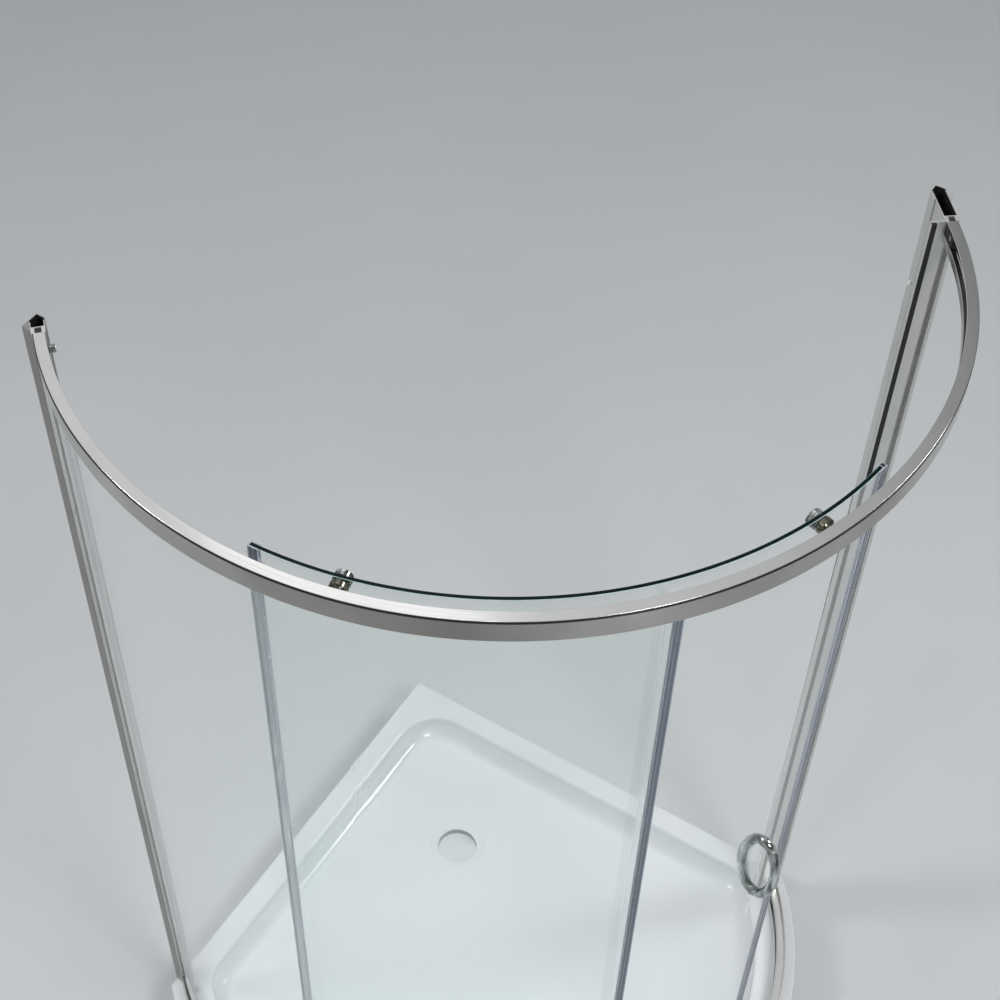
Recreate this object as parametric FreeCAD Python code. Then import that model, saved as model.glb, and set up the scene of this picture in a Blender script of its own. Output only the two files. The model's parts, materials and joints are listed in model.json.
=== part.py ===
import FreeCAD, Part
import math
import os

# Corner shower enclosure with a round front, in millimetres.
# +Z is up and the floor is z = 0. The wall corner lies at (-HALF, +HALF): the left wall is the plane
# x = -HALF and the right wall is the plane y = +HALF. Bearings are degrees about the rails' common
# axis, anticlockwise from +X, so the left end of the rails has the lowest bearing.

# Plan of the curved rails
RAIL_RADIUS = 640.0
RAIL_WIDTH = 17.0
WALL_TO_CENTRE = 461.0
LEFT_END_REACH = 27.0
RIGHT_END_REACH = 62.0

# Section of the rails; the bottom rail is the same extrusion turned over
RAIL_HEIGHT = 35.0
RAIL_TOP_ABOVE_RIM = 1826.0
RAIL_WALL = 2.0
RAIL_EDGE_STEP = 1.2
TRACK_HEIGHT = 20.5
RIB_HEIGHT = 1.8
RIB_WIDTH = 3.0

# Tray
TRAY_HEIGHT = 120.0
TRAY_OVERHANG = 26.0
TRAY_SHELL = 8.0
TRAY_EDGE_ROUND = 5.0
BACK_RIM = 49.0
FRONT_RIM = 84.0
BASIN_DEPTH = 50.0
BASIN_BACK_CORNER = 90.0
BASIN_SIDE_CORNER = 70.0
BASIN_FLOOR_ROUND = 35.0
BASIN_RIM_ROUND = 7.0
DRAIN_DIAMETER = 86.0
DRAIN_DISH_DIAMETER = 118.0
DRAIN_DISH_DEPTH = 3.0
DRAIN_FROM_WALL = 300.0
DRAIN_BOSS_WALL = 14.0
DRAIN_BOSS_DROP = 12.0

# Tray feet
FOOT_COUNT = 5
FOOT_CIRCLE = 345.0
FOOT_FIRST_BEARING = -45.0
FOOT_PAD_DIAMETER = 50.0
FOOT_PAD_HEIGHT = 10.0
FOOT_STUD_DIAMETER = 12.0
FOOT_SOCKET_DEPTH = 5.0
FOOT_NUT_ACROSS = 21.0
FOOT_NUT_HEIGHT = 8.0

# Glass, gaskets and seals
GLASS_THICKNESS = 6.0
GLAZING_BITE = 8.5
GASKET_WALL = 1.5
GASKET_FIT = 0.15
SEAL_WALL = 2.0
FIN_THICKNESS = 1.6
FIXED_EDGE_BEARING = -38.7
FIXED_SEAL_WIDTH = 12.0
DOOR_SEAL_WIDTH = 15.0
SEAL_OVER_EDGE = 1.5
FIN_GAP = 1.5
MAGNET_WIDTH = 5.0

# Door
DOOR_LEFT_BEARING = -88.1
DOOR_SPAN = 80.5
DOOR_TO_RAIL = 16.0
DOOR_FLOOR_GAP = 3.0
WIPER_WIDTH = 4.0
WIPER_GAP = 0.4

# Wall channels and jambs
CHANNEL_WALL = 1.2
CHANNEL_FIT = 0.3
CHANNEL_REACH = 31.0
CHANNEL_FOOT_IN = 2.0
CHANNEL_FOOT_OUT = 28.0
CHANNEL_LIP = 3.0
JAMB_WIDTH = 20.0
JAMB_WALL = 1.2
JAMB_END_GAP = 2.5
GLAZING_SLOT_DEPTH = 11.0
WALL_HOLE_DIAMETER = 5.0
WALL_HOLE_OUTER = 150.0
WALL_HOLE_INNER = 650.0
JAMB_SCREW_FROM_END = 160.0
JAMB_SCREW_MIDDLE_SHARE = 0.51
JAMB_SCREW_DIAMETER = 4.0
JAMB_SCREW_LENGTH = 7.0
JAMB_SCREW_INSET = 9.0
SCREW_HEAD_DIAMETER = 7.6
SCREW_HEAD_HEIGHT = 2.4
SCREW_CAP_HEIGHT = 1.2

# Strike on the right jamb
STRIKE_WIDTH = 10.0
STRIKE_FRONT = 5.0
STRIKE_BACK = 3.0
STRIKE_WEB_THICKNESS = 3.0
STRIKE_WALL = 1.0
STRIKE_MAGNET_DEPTH = 5.0

# Rail end blocks and their screws
BLOCK_LENGTH = 34.0
BLOCK_SCREW_INSET = 23.0
BLOCK_SCREW_DIAMETER = 4.0
KNOB_DIAMETER = 12.0
KNOB_LENGTH = 10.0
FLUSH_HEAD_DIAMETER = 8.0
FLUSH_HEAD_DEPTH = 3.0

# Rollers
ROLLER_INSET = 11.6
WHEEL_DIAMETER = 19.0
WHEEL_WIDTH = 8.0
WHEEL_GROOVE_CLEARANCE = 0.5
RUN_GAP = 0.3
AXLE_DIAMETER = 6.0
AXLE_RUN_CLEARANCE = 0.05
AXLE_SHOULDER_DIAMETER = 9.0
AXLE_END = 1.0
CLIP_THICKNESS = 1.0
CLIP_DIAMETER = 11.0
FLANGE_DIAMETER = 24.0
FLANGE_THICKNESS = 8.0
CAP_DIAMETER = 24.5
CAP_LENGTH = 9.0
CAP_EDGE_ROUND = 1.5
CAP_SOCKET_DEPTH = 5.5
WASHER_DIAMETER = 18.0
WASHER_THICKNESS = 1.0
HOLE_CLEARANCE = 0.2
CUT_PAST = 5.0

# Ring handle: two half ovals back to back
HANDLE_HEIGHT = 963.0
HANDLE_INSET = 6.44
HANDLE_HALF_HEIGHT = 73.0
HANDLE_DEPTH = 34.0
HANDLE_END_RADIUS = 22.0
HANDLE_TUBE_DIAMETER = 16.0
HANDLE_STUD_DIAMETER = 6.0
HANDLE_STUD_BITE = 8.0
HANDLE_WASHER_DIAMETER = 18.0

# Values worked out from the sizes above
TRAY_RADIUS = RAIL_RADIUS + TRAY_OVERHANG
HALF = (WALL_TO_CENTRE + TRAY_RADIUS) / 2.0
CENTRE = FreeCAD.Vector(WALL_TO_CENTRE - HALF, HALF - WALL_TO_CENTRE, 0.0)
RAIL_INNER = RAIL_RADIUS - RAIL_WIDTH
RAIL_MIDDLE = RAIL_RADIUS - RAIL_WIDTH / 2.0
RIM = TRAY_HEIGHT
RAIL_TOP = RIM + RAIL_TOP_ABOVE_RIM
OPENING_BOTTOM = RIM + RAIL_HEIGHT
OPENING_TOP = RAIL_TOP - RAIL_HEIGHT
TRACK_DROP = RAIL_WALL + TRACK_HEIGHT
GLASS_BOTTOM = OPENING_BOTTOM - GLAZING_BITE
GLASS_TOP = OPENING_TOP + GLAZING_BITE
LEFT_SLANT = math.asin((WALL_TO_CENTRE - LEFT_END_REACH) / RAIL_MIDDLE)
RIGHT_SLANT = math.asin((WALL_TO_CENTRE - RIGHT_END_REACH) / RAIL_MIDDLE)
RAIL_START = -90.0 - math.degrees(LEFT_SLANT)
RAIL_END = math.degrees(RIGHT_SLANT)
FIXED_INNER = RAIL_MIDDLE - GLASS_THICKNESS / 2.0
FIXED_OUTER = RAIL_MIDDLE + GLASS_THICKNESS / 2.0
DOOR_OUTER = RAIL_INNER - DOOR_TO_RAIL
DOOR_INNER = DOOR_OUTER - GLASS_THICKNESS
DOOR_MIDDLE = DOOR_OUTER - GLASS_THICKNESS / 2.0
DOOR_BOTTOM = RIM + DOOR_FLOOR_GAP
DOOR_RIGHT_BEARING = DOOR_LEFT_BEARING + DOOR_SPAN
HANDLE_BEARING = DOOR_RIGHT_BEARING - HANDLE_INSET
HANDLE_Z = RIM + HANDLE_HEIGHT
WHEEL_RADIUS = WHEEL_DIAMETER / 2.0
AXLE_DROP = TRACK_DROP - RUN_GAP - WHEEL_RADIUS
TOP_AXLE_Z = RAIL_TOP - AXLE_DROP
BOTTOM_AXLE_Z = RIM + AXLE_DROP
SLOT_WIDTH = GLASS_THICKNESS + 2.0 * (GASKET_WALL + GASKET_FIT)
JAMB_HALF = JAMB_WIDTH / 2.0
CHANNEL_INNER = JAMB_HALF + CHANNEL_FIT
CHANNEL_OUTER = CHANNEL_INNER + CHANNEL_WALL

Z_AXIS = FreeCAD.Vector(0.0, 0.0, 1.0)
ORIGIN = FreeCAD.Vector(0.0, 0.0, 0.0)
SAME = 0.01


def arc_degrees(length, radius):
    """Angle in degrees that a length spans along an arc."""
    return math.degrees(length / radius)


def turned(shape, bearing):
    """Turn a shape made at bearing 0 about the rails' axis, and move it to that axis."""
    shape = shape.copy()
    shape.rotate(ORIGIN, Z_AXIS, bearing)
    shape.translate(CENTRE)
    return shape


def ring(points, start, end):
    """Sweep a closed outline of (radius, height) points round the rails' axis."""
    corners = [FreeCAD.Vector(radius, 0.0, height) for radius, height in points]
    face = Part.Face(Part.makePolygon(corners + corners[:1]))
    return turned(face.revolve(ORIGIN, Z_AXIS, end - start), start)


def band(inner, outer, low, high, start, end):
    """Curved block between two radii, two heights and two bearings."""
    return ring([(inner, low), (outer, low), (outer, high), (inner, high)], start, end)


def rod(radius, inner, outer, height):
    """Cylinder along the radius at bearing 0."""
    base = FreeCAD.Vector(inner, 0.0, height)
    return Part.makeCylinder(radius, outer - inner, base, FreeCAD.Vector(1.0, 0.0, 0.0))


def flat_seat(radius, spread):
    """Radius where a flat disc of the given half width clears a hollow round face."""
    return math.sqrt(radius ** 2 - spread ** 2)


def fused(shapes):
    """One solid from several that touch."""
    return shapes[0].multiFuse(shapes[1:]).removeSplitter()


def group(shapes):
    """Several separate solids in one node."""
    return Part.makeCompound(shapes)


def export(name, shape):
    """Write one node."""
    shape.exportStep("parts/" + name + ".step")


class End:
    """Plan of one end of the rails: u runs on from the rail towards the wall, v runs outwards."""

    def __init__(self, side, bearing, slant, reach):
        self.side = side
        self.bearing = bearing
        self.slant = slant
        self.reach = reach
        self.axis_length = reach / math.cos(slant)
        back_wall = JAMB_HALF * math.tan(slant) + CHANNEL_WALL / math.cos(slant)
        self.jamb_depth = self.axis_length - back_wall - JAMB_END_GAP
        self.mouth = self.axis_length - CHANNEL_REACH

    def wall_point(self, along, off):
        """Point (u, v) from its distances along the wall and off it."""
        u = self.axis_length - along * math.sin(self.slant) - off * math.cos(self.slant)
        v = along * math.cos(self.slant) - off * math.sin(self.slant)
        return u, v

    def depth_at(self, v, off):
        """The u where a line of constant v comes to a distance off the wall."""
        return (self.reach - off - v * math.sin(self.slant)) / math.cos(self.slant)

    def off_at(self, v, along):
        """Distance off the wall where a line of constant v meets a line square to the wall."""
        return (along * math.cos(self.slant) - v) / math.sin(self.slant)

    def place(self, shape):
        """Move a shape made at bearing 0 to this end."""
        return turned(shape, self.bearing)

    def vector(self, u, v, height):
        """Plan point as a vector at bearing 0."""
        return FreeCAD.Vector(RAIL_MIDDLE + v, self.side * u, height)

    def prism(self, points, low, high):
        """Upright prism on a plan outline of (u, v) points."""
        corners = [self.vector(u, v, low) for u, v in points]
        face = Part.Face(Part.makePolygon(corners + corners[:1]))
        return self.place(face.extrude(FreeCAD.Vector(0.0, 0.0, high - low)))

    def block(self, u_low, u_high, v_low, v_high, low, high):
        """Upright block in plan."""
        points = [(u_low, v_low), (u_high, v_low), (u_high, v_high), (u_low, v_high)]
        return self.prism(points, low, high)

    def cross_rod(self, radius, u, v_low, v_high, height):
        """Cylinder along v."""
        base = self.vector(u, v_low, height)
        return self.place(Part.makeCylinder(radius, v_high - v_low, base, FreeCAD.Vector(1.0, 0.0, 0.0)))

    def wall_rod(self, radius, along, off_low, off_high, height):
        """Cylinder square to the wall."""
        near = self.vector(*self.wall_point(along, off_low), height)
        far = self.vector(*self.wall_point(along, off_high), height)
        return self.place(Part.makeCylinder(radius, off_high - off_low, near, far - near))


LEFT = End(-1.0, RAIL_START, LEFT_SLANT, LEFT_END_REACH)
RIGHT = End(1.0, RAIL_END, RIGHT_SLANT, RIGHT_END_REACH)


def plan_region(wall_gap, radius):
    """Face between the two walls, set off by a gap, and an arc about the rails' axis."""
    across = math.sqrt(radius ** 2 - (WALL_TO_CENTRE - wall_gap) ** 2)
    low = FreeCAD.Vector(-HALF + wall_gap, CENTRE.y - across, 0.0)
    corner = FreeCAD.Vector(-HALF + wall_gap, HALF - wall_gap, 0.0)
    high = FreeCAD.Vector(CENTRE.x + across, HALF - wall_gap, 0.0)
    middle = CENTRE + FreeCAD.Vector(radius * math.sqrt(0.5), -radius * math.sqrt(0.5), 0.0)
    arc = Part.Arc(low, middle, high).toShape()
    return Part.Face(Part.Wire([Part.makeLine(high, corner), Part.makeLine(corner, low), arc]))


def plan_prism(wall_gap, radius, low, high):
    """Upright prism on a plan region."""
    face = plan_region(wall_gap, radius)
    face.translate(FreeCAD.Vector(0.0, 0.0, low))
    return face.extrude(FreeCAD.Vector(0.0, 0.0, high - low))


def upright_edges(shape, near_corner):
    """Upright straight edges at the back corner, or those at the two sides."""
    corner = FreeCAD.Vector(-HALF, HALF, 0.0)
    found = []
    for edge in shape.Edges:
        box = edge.BoundBox
        upright = box.XLength < SAME and box.YLength < SAME
        distance = math.hypot(box.XMin - corner.x, box.YMin - corner.y)
        if upright and (distance < WALL_TO_CENTRE) == near_corner:
            found.append(edge)
    return found


def level_edges(shape, height):
    """Edges that lie flat at one height."""
    return [edge for edge in shape.Edges
            if abs(edge.BoundBox.ZMin - height) < SAME and abs(edge.BoundBox.ZMax - height) < SAME]


def basin_form(grow):
    """Pocket of the basin, or with grow the shell's outer face round it."""
    floor = RIM - BASIN_DEPTH - grow
    form = plan_prism(BACK_RIM - grow, TRAY_RADIUS - FRONT_RIM + grow, floor, RIM)
    form = form.makeFillet(BASIN_BACK_CORNER + grow, upright_edges(form, True))
    form = form.makeFillet(BASIN_SIDE_CORNER + grow, upright_edges(form, False))
    return form.makeFillet(BASIN_FLOOR_ROUND + grow, level_edges(form, floor))


def drain_point(height):
    """Point on the drain's axis."""
    return FreeCAD.Vector(-HALF + DRAIN_FROM_WALL, HALF - DRAIN_FROM_WALL, height)


def drain_cylinder(radius, low, high):
    """Upright cylinder on the drain's axis."""
    return Part.makeCylinder(radius, high - low, drain_point(low))


def tray():
    """Moulded shell with a rim, a rounded basin, a skirt and a bossed drain hole."""
    floor = RIM - BASIN_DEPTH
    underside = floor - TRAY_SHELL
    body = plan_prism(0.0, TRAY_RADIUS, 0.0, RIM)
    outer_top = [edge for edge in level_edges(body, RIM) if edge.Curve.TypeId == "Part::GeomCircle"]
    body = body.makeFillet(TRAY_EDGE_ROUND, outer_top)
    hollow = plan_prism(TRAY_SHELL, TRAY_RADIUS - TRAY_SHELL, 0.0, RIM - TRAY_SHELL)
    body = body.cut(hollow.cut(basin_form(TRAY_SHELL)))
    body = body.cut(basin_form(0.0))
    basin_mouth = [edge for edge in level_edges(body, RIM) if clear_of_walls(edge)]
    body = body.makeFillet(BASIN_RIM_ROUND, basin_mouth)
    drain_radius = DRAIN_DIAMETER / 2.0
    boss = drain_cylinder(drain_radius + DRAIN_BOSS_WALL, underside - DRAIN_BOSS_DROP, underside)
    body = fused([body, boss])
    dish = Part.makeCone(drain_radius, DRAIN_DISH_DIAMETER / 2.0, DRAIN_DISH_DEPTH)
    dish.translate(drain_point(floor - DRAIN_DISH_DEPTH))
    hole = drain_cylinder(drain_radius, underside - DRAIN_BOSS_DROP, floor)
    return body.cut(fused([dish, hole]))


def clear_of_walls(edge):
    """Whether an edge keeps off both walls."""
    return edge.BoundBox.XMin > -HALF + TRAY_SHELL and edge.BoundBox.YMax < HALF - TRAY_SHELL


def polar(radius, degrees, height):
    """Vector from a radius, an angle and a height."""
    angle = math.radians(degrees)
    return FreeCAD.Vector(radius * math.cos(angle), radius * math.sin(angle), height)


def foot_places(height):
    """Points on the axes of the tray's feet."""
    step = 360.0 / FOOT_COUNT
    return [CENTRE + polar(FOOT_CIRCLE, FOOT_FIRST_BEARING + index * step, height)
            for index in range(FOOT_COUNT)]


def foot_pads():
    """Round pads on the floor, each with a socket for its stud."""
    socket_floor = FOOT_PAD_HEIGHT - FOOT_SOCKET_DEPTH
    socket_radius = FOOT_STUD_DIAMETER / 2.0 + HOLE_CLEARANCE
    pads = []
    for base, seat in zip(foot_places(0.0), foot_places(socket_floor)):
        pad = Part.makeCylinder(FOOT_PAD_DIAMETER / 2.0, FOOT_PAD_HEIGHT, base)
        pads.append(pad.cut(Part.makeCylinder(socket_radius, FOOT_SOCKET_DEPTH, seat)))
    return group(pads)


def foot_studs():
    """Studs from the pads up to the basin's underside."""
    low = FOOT_PAD_HEIGHT - FOOT_SOCKET_DEPTH
    high = RIM - BASIN_DEPTH - TRAY_SHELL
    radius = FOOT_STUD_DIAMETER / 2.0
    return group([Part.makeCylinder(radius, high - low, base) for base in foot_places(low)])


def foot_nuts():
    """Lock nuts under the basin."""
    low = RIM - BASIN_DEPTH - TRAY_SHELL - FOOT_NUT_HEIGHT
    corner_radius = FOOT_NUT_ACROSS / math.sqrt(3.0)
    nuts = []
    for base in foot_places(low):
        corners = [base + polar(corner_radius, 60.0 * index, 0.0) for index in range(6)]
        hexagon = Part.Face(Part.makePolygon(corners + corners[:1]))
        nut = hexagon.extrude(FreeCAD.Vector(0.0, 0.0, FOOT_NUT_HEIGHT))
        bore = Part.makeCylinder(FOOT_STUD_DIAMETER / 2.0 + HOLE_CLEARANCE, FOOT_NUT_HEIGHT, base)
        nuts.append(nut.cut(bore))
    return group(nuts)


def flipped(points):
    """The top rail's (radius, height) points turned over for the bottom rail."""
    return [(radius, RIM + RAIL_TOP - height) for radius, height in points]


def rail_outline():
    """Section of the top rail: wheel track open to the inside, glazing slot open below."""
    track = RAIL_TOP - TRACK_DROP
    outer_skin = RAIL_RADIUS - RAIL_WALL
    rib_half = RIB_WIDTH / 2.0
    return [
        (RAIL_RADIUS, OPENING_TOP),
        (RAIL_RADIUS, RAIL_TOP - RAIL_EDGE_STEP),
        (RAIL_RADIUS - RAIL_EDGE_STEP, RAIL_TOP - RAIL_EDGE_STEP),
        (RAIL_RADIUS - RAIL_EDGE_STEP, RAIL_TOP),
        (RAIL_INNER, RAIL_TOP),
        (RAIL_INNER, RAIL_TOP - RAIL_WALL),
        (outer_skin, RAIL_TOP - RAIL_WALL),
        (outer_skin, track),
        (RAIL_MIDDLE + rib_half, track),
        (RAIL_MIDDLE + rib_half, track + RIB_HEIGHT),
        (RAIL_MIDDLE - rib_half, track + RIB_HEIGHT),
        (RAIL_MIDDLE - rib_half, track),
        (RAIL_INNER, track),
        (RAIL_INNER, OPENING_TOP),
        (RAIL_INNER + RAIL_WALL, OPENING_TOP),
        (RAIL_INNER + RAIL_WALL, track - RAIL_WALL),
        (outer_skin, track - RAIL_WALL),
        (outer_skin, OPENING_TOP),
    ]


def top_rail():
    """Curved rail that carries the door and holds the top of the fixed glass."""
    return ring(rail_outline(), RAIL_START, RAIL_END)


def bottom_rail():
    """The same rail turned over on the tray's rim."""
    return ring(flipped(rail_outline()), RAIL_START, RAIL_END)


def block_heights(at_top):
    """Lowest and highest level of a rail end block: between the track's rib and its cover."""
    low = RAIL_TOP - TRACK_DROP + RIB_HEIGHT
    high = RAIL_TOP - RAIL_WALL
    if at_top:
        return low, high
    return RIM + RAIL_TOP - high, RIM + RAIL_TOP - low


def block_screw_bearing(end):
    """Bearing of the screw through a rail end block."""
    return end.bearing - end.side * arc_degrees(BLOCK_SCREW_INSET, RAIL_MIDDLE)


def rail_end_block(end, at_top):
    """Block in the end of a rail's track, with a tongue in the jamb's slot."""
    low, high = block_heights(at_top)
    inner_bearing = end.bearing - end.side * arc_degrees(BLOCK_LENGTH, RAIL_MIDDLE)
    start, stop = sorted((inner_bearing, end.bearing))
    body = band(RAIL_INNER, RAIL_RADIUS - RAIL_WALL, low, high, start, stop)
    tongue_half = SLOT_WIDTH / 2.0 - GASKET_FIT
    tongue = end.block(0.0, GLAZING_SLOT_DEPTH, -tongue_half, tongue_half, low, high)
    middle = (low + high) / 2.0
    front = RAIL_INNER - CUT_PAST
    hole = rod(BLOCK_SCREW_DIAMETER / 2.0 + HOLE_CLEARANCE, front, RAIL_RADIUS - RAIL_WALL, middle)
    body = fused([body, tongue]).cut(turned(hole, block_screw_bearing(end)))
    if end is LEFT:
        return body
    recess = rod(FLUSH_HEAD_DIAMETER / 2.0 + HOLE_CLEARANCE, front, RAIL_INNER + FLUSH_HEAD_DEPTH, middle)
    return body.cut(turned(recess, block_screw_bearing(end)))


def rail_end_blocks():
    """The four blocks."""
    return group([rail_end_block(end, at_top) for end in (LEFT, RIGHT) for at_top in (True, False)])


def knob_screw(at_top):
    """Screw with a round knob head that stands inside the rail's left end."""
    middle = sum(block_heights(at_top)) / 2.0
    seat = flat_seat(RAIL_INNER, KNOB_DIAMETER / 2.0)
    head = rod(KNOB_DIAMETER / 2.0, seat - KNOB_LENGTH, seat, middle)
    shank = rod(BLOCK_SCREW_DIAMETER / 2.0, seat, RAIL_RADIUS - RAIL_WALL, middle)
    return turned(fused([head, shank]), block_screw_bearing(LEFT))


def flush_screw(at_top):
    """Screw with a head sunk in the rail's right end block."""
    middle = sum(block_heights(at_top)) / 2.0
    head = rod(FLUSH_HEAD_DIAMETER / 2.0, RAIL_INNER, RAIL_INNER + FLUSH_HEAD_DEPTH, middle)
    shank = rod(BLOCK_SCREW_DIAMETER / 2.0, RAIL_INNER, RAIL_RADIUS - RAIL_WALL, middle)
    return turned(fused([head, shank]), block_screw_bearing(RIGHT))


def channel_outline(end):
    """Plan of a wall channel's outer face."""
    inner_off = end.off_at(-CHANNEL_OUTER, -CHANNEL_FOOT_IN)
    return [
        end.wall_point(-CHANNEL_FOOT_IN, 0.0),
        end.wall_point(CHANNEL_FOOT_OUT, 0.0),
        end.wall_point(CHANNEL_FOOT_OUT, CHANNEL_LIP),
        (end.mouth, CHANNEL_OUTER),
        (end.mouth, -CHANNEL_OUTER),
        end.wall_point(-CHANNEL_FOOT_IN, inner_off),
    ]


def channel_cavity(end):
    """Plan of a wall channel's hollow, open at its mouth."""
    inner_along = -CHANNEL_FOOT_IN + CHANNEL_WALL
    inner_off = end.off_at(-CHANNEL_INNER, inner_along)
    return [
        (end.mouth, CHANNEL_INNER),
        (end.depth_at(CHANNEL_INNER, CHANNEL_WALL), CHANNEL_INNER),
        end.wall_point(inner_along, CHANNEL_WALL),
        end.wall_point(inner_along, inner_off),
        (end.mouth, -CHANNEL_INNER),
    ]


def wall_hole_heights():
    """Heights of the wall screw holes, from the lowest up."""
    lower = [RIM + WALL_HOLE_OUTER, RIM + WALL_HOLE_INNER]
    return lower + [RAIL_TOP - WALL_HOLE_INNER, RAIL_TOP - WALL_HOLE_OUTER]


def wall_hole_along(end):
    """Distance along the wall of the screw holes: the middle of the hollow's back."""
    outer_along = (CHANNEL_INNER + CHANNEL_WALL * math.sin(end.slant)) / math.cos(end.slant)
    return (outer_along + CHANNEL_WALL - CHANNEL_FOOT_IN) / 2.0


def wall_channel(end):
    """Upright channel on the wall that the jamb slides into."""
    body = end.prism(channel_outline(end), RIM, RAIL_TOP)
    body = body.cut(end.prism(channel_cavity(end), RIM, RAIL_TOP))
    radius = WALL_HOLE_DIAMETER / 2.0
    holes = [end.wall_rod(radius, wall_hole_along(end), -CUT_PAST, CHANNEL_WALL + CUT_PAST, height)
             for height in wall_hole_heights()]
    return body.cut(group(holes + jamb_screw_holes(end)))


def jamb_screw_depth(end):
    """The u of the jamb screws, within the overlap of jamb and channel."""
    return end.mouth + JAMB_SCREW_INSET


def jamb_screw_heights():
    """Heights of the jamb screws: near both ends and by the middle."""
    middle = RIM + RAIL_TOP_ABOVE_RIM * JAMB_SCREW_MIDDLE_SHARE
    return RIM + JAMB_SCREW_FROM_END, middle, RAIL_TOP - JAMB_SCREW_FROM_END


def jamb_screw_holes(end):
    """Clearance holes for the jamb screws."""
    radius = JAMB_SCREW_DIAMETER / 2.0 + HOLE_CLEARANCE
    first = -CHANNEL_OUTER - CUT_PAST
    last = -JAMB_HALF + JAMB_WALL + CUT_PAST
    return [end.cross_rod(radius, jamb_screw_depth(end), first, last, height)
            for height in jamb_screw_heights()]


def jamb(end):
    """Upright tube with a slot in front for the glass and an open back."""
    slot_half = SLOT_WIDTH / 2.0
    hollow_half = JAMB_HALF - JAMB_WALL
    hollow_front = GLAZING_SLOT_DEPTH + JAMB_WALL
    body = end.block(0.0, end.jamb_depth, -JAMB_HALF, JAMB_HALF, RIM, RAIL_TOP)
    body = body.cut(end.block(0.0, GLAZING_SLOT_DEPTH, -slot_half, slot_half, RIM, RAIL_TOP))
    body = body.cut(end.block(hollow_front, end.jamb_depth, -hollow_half, hollow_half, RIM, RAIL_TOP))
    return body.cut(group(jamb_screw_holes(end)))


def strike_middle():
    """The v of the strike's middle, on the door glass's line."""
    return DOOR_MIDDLE - RAIL_MIDDLE


def strike_jamb():
    """Right jamb with the magnet holder that the door closes against."""
    low_v = strike_middle() - STRIKE_WIDTH / 2.0
    high_v = strike_middle() + STRIKE_WIDTH / 2.0
    holder = RIGHT.block(-STRIKE_FRONT, STRIKE_BACK, low_v, high_v, RIM, RAIL_TOP)
    web_front = STRIKE_BACK - STRIKE_WEB_THICKNESS
    web = RIGHT.block(web_front, STRIKE_BACK, high_v, -JAMB_HALF, RIM, RAIL_TOP)
    body = fused([jamb(RIGHT), web, holder])
    groove = RIGHT.block(-STRIKE_FRONT, STRIKE_MAGNET_DEPTH - STRIKE_FRONT, low_v + STRIKE_WALL,
                         high_v - STRIKE_WALL, RIM, RAIL_TOP)
    return body.cut(groove)


def strike_magnet():
    """Magnet strip in the strike's groove."""
    low_v = strike_middle() - STRIKE_WIDTH / 2.0 + STRIKE_WALL
    high_v = strike_middle() + STRIKE_WIDTH / 2.0 - STRIKE_WALL
    return RIGHT.block(-STRIKE_FRONT, STRIKE_MAGNET_DEPTH - STRIKE_FRONT, low_v, high_v, RIM, RAIL_TOP)


def jamb_screws():
    """Pan head screws through the channels into the jambs, from the inside."""
    screws = []
    for end in (LEFT, RIGHT):
        depth = jamb_screw_depth(end)
        for height in jamb_screw_heights():
            head = end.cross_rod(SCREW_HEAD_DIAMETER / 2.0, depth, -CHANNEL_OUTER - SCREW_HEAD_HEIGHT,
                                 -CHANNEL_OUTER, height)
            shank = end.cross_rod(JAMB_SCREW_DIAMETER / 2.0, depth, -CHANNEL_OUTER,
                                  -CHANNEL_OUTER + JAMB_SCREW_LENGTH, height)
            screws.append(fused([head, shank]))
    return group(screws)


def screw_caps():
    """Push-on caps over the jamb screws' heads."""
    radius = SCREW_HEAD_DIAMETER / 2.0
    high = -CHANNEL_OUTER - SCREW_HEAD_HEIGHT
    low = high - SCREW_CAP_HEIGHT
    return group([end.cross_rod(radius, jamb_screw_depth(end), low, high, height)
                  for end in (LEFT, RIGHT) for height in jamb_screw_heights()])


def fixed_start():
    """Bearing of the fixed glass's edge inside the left jamb."""
    return RAIL_START - arc_degrees(GLAZING_SLOT_DEPTH - GASKET_WALL, RAIL_MIDDLE)


def fixed_end():
    """Bearing of the fixed glass's free edge."""
    return FIXED_EDGE_BEARING - arc_degrees(SEAL_OVER_EDGE, RAIL_MIDDLE)


def fixed_glass():
    """Curved fixed panel."""
    return band(FIXED_INNER, FIXED_OUTER, GLASS_BOTTOM, GLASS_TOP, fixed_start(), fixed_end())


def rail_gasket_outline():
    """Section of the glazing gasket in the top rail: a channel over the glass's edge."""
    outer_skin = RAIL_RADIUS - RAIL_WALL
    inner_skin = RAIL_INNER + RAIL_WALL
    slot_top = RAIL_TOP - TRACK_DROP - RAIL_WALL
    return [
        (inner_skin, OPENING_TOP), (FIXED_INNER, OPENING_TOP), (FIXED_INNER, GLASS_TOP),
        (FIXED_OUTER, GLASS_TOP), (FIXED_OUTER, OPENING_TOP), (outer_skin, OPENING_TOP),
        (outer_skin, slot_top), (inner_skin, slot_top),
    ]


def top_gasket():
    """Glazing gasket in the top rail."""
    return ring(rail_gasket_outline(), RAIL_START, fixed_end())


def bottom_gasket():
    """Glazing gasket in the bottom rail."""
    return ring(flipped(rail_gasket_outline()), RAIL_START, fixed_end())


def jamb_gasket():
    """Glazing gasket in the left jamb."""
    inner = FIXED_INNER - GASKET_WALL
    outer = FIXED_OUTER + GASKET_WALL
    back = RAIL_START - arc_degrees(GLAZING_SLOT_DEPTH - GASKET_FIT, RAIL_MIDDLE)
    body = band(inner, outer, GLASS_BOTTOM, GLASS_TOP, back, RAIL_START)
    grip = band(FIXED_INNER - GASKET_FIT, FIXED_OUTER + GASKET_FIT, GLASS_BOTTOM, GLASS_TOP,
                fixed_start(), RAIL_START)
    return body.cut(grip)


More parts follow.
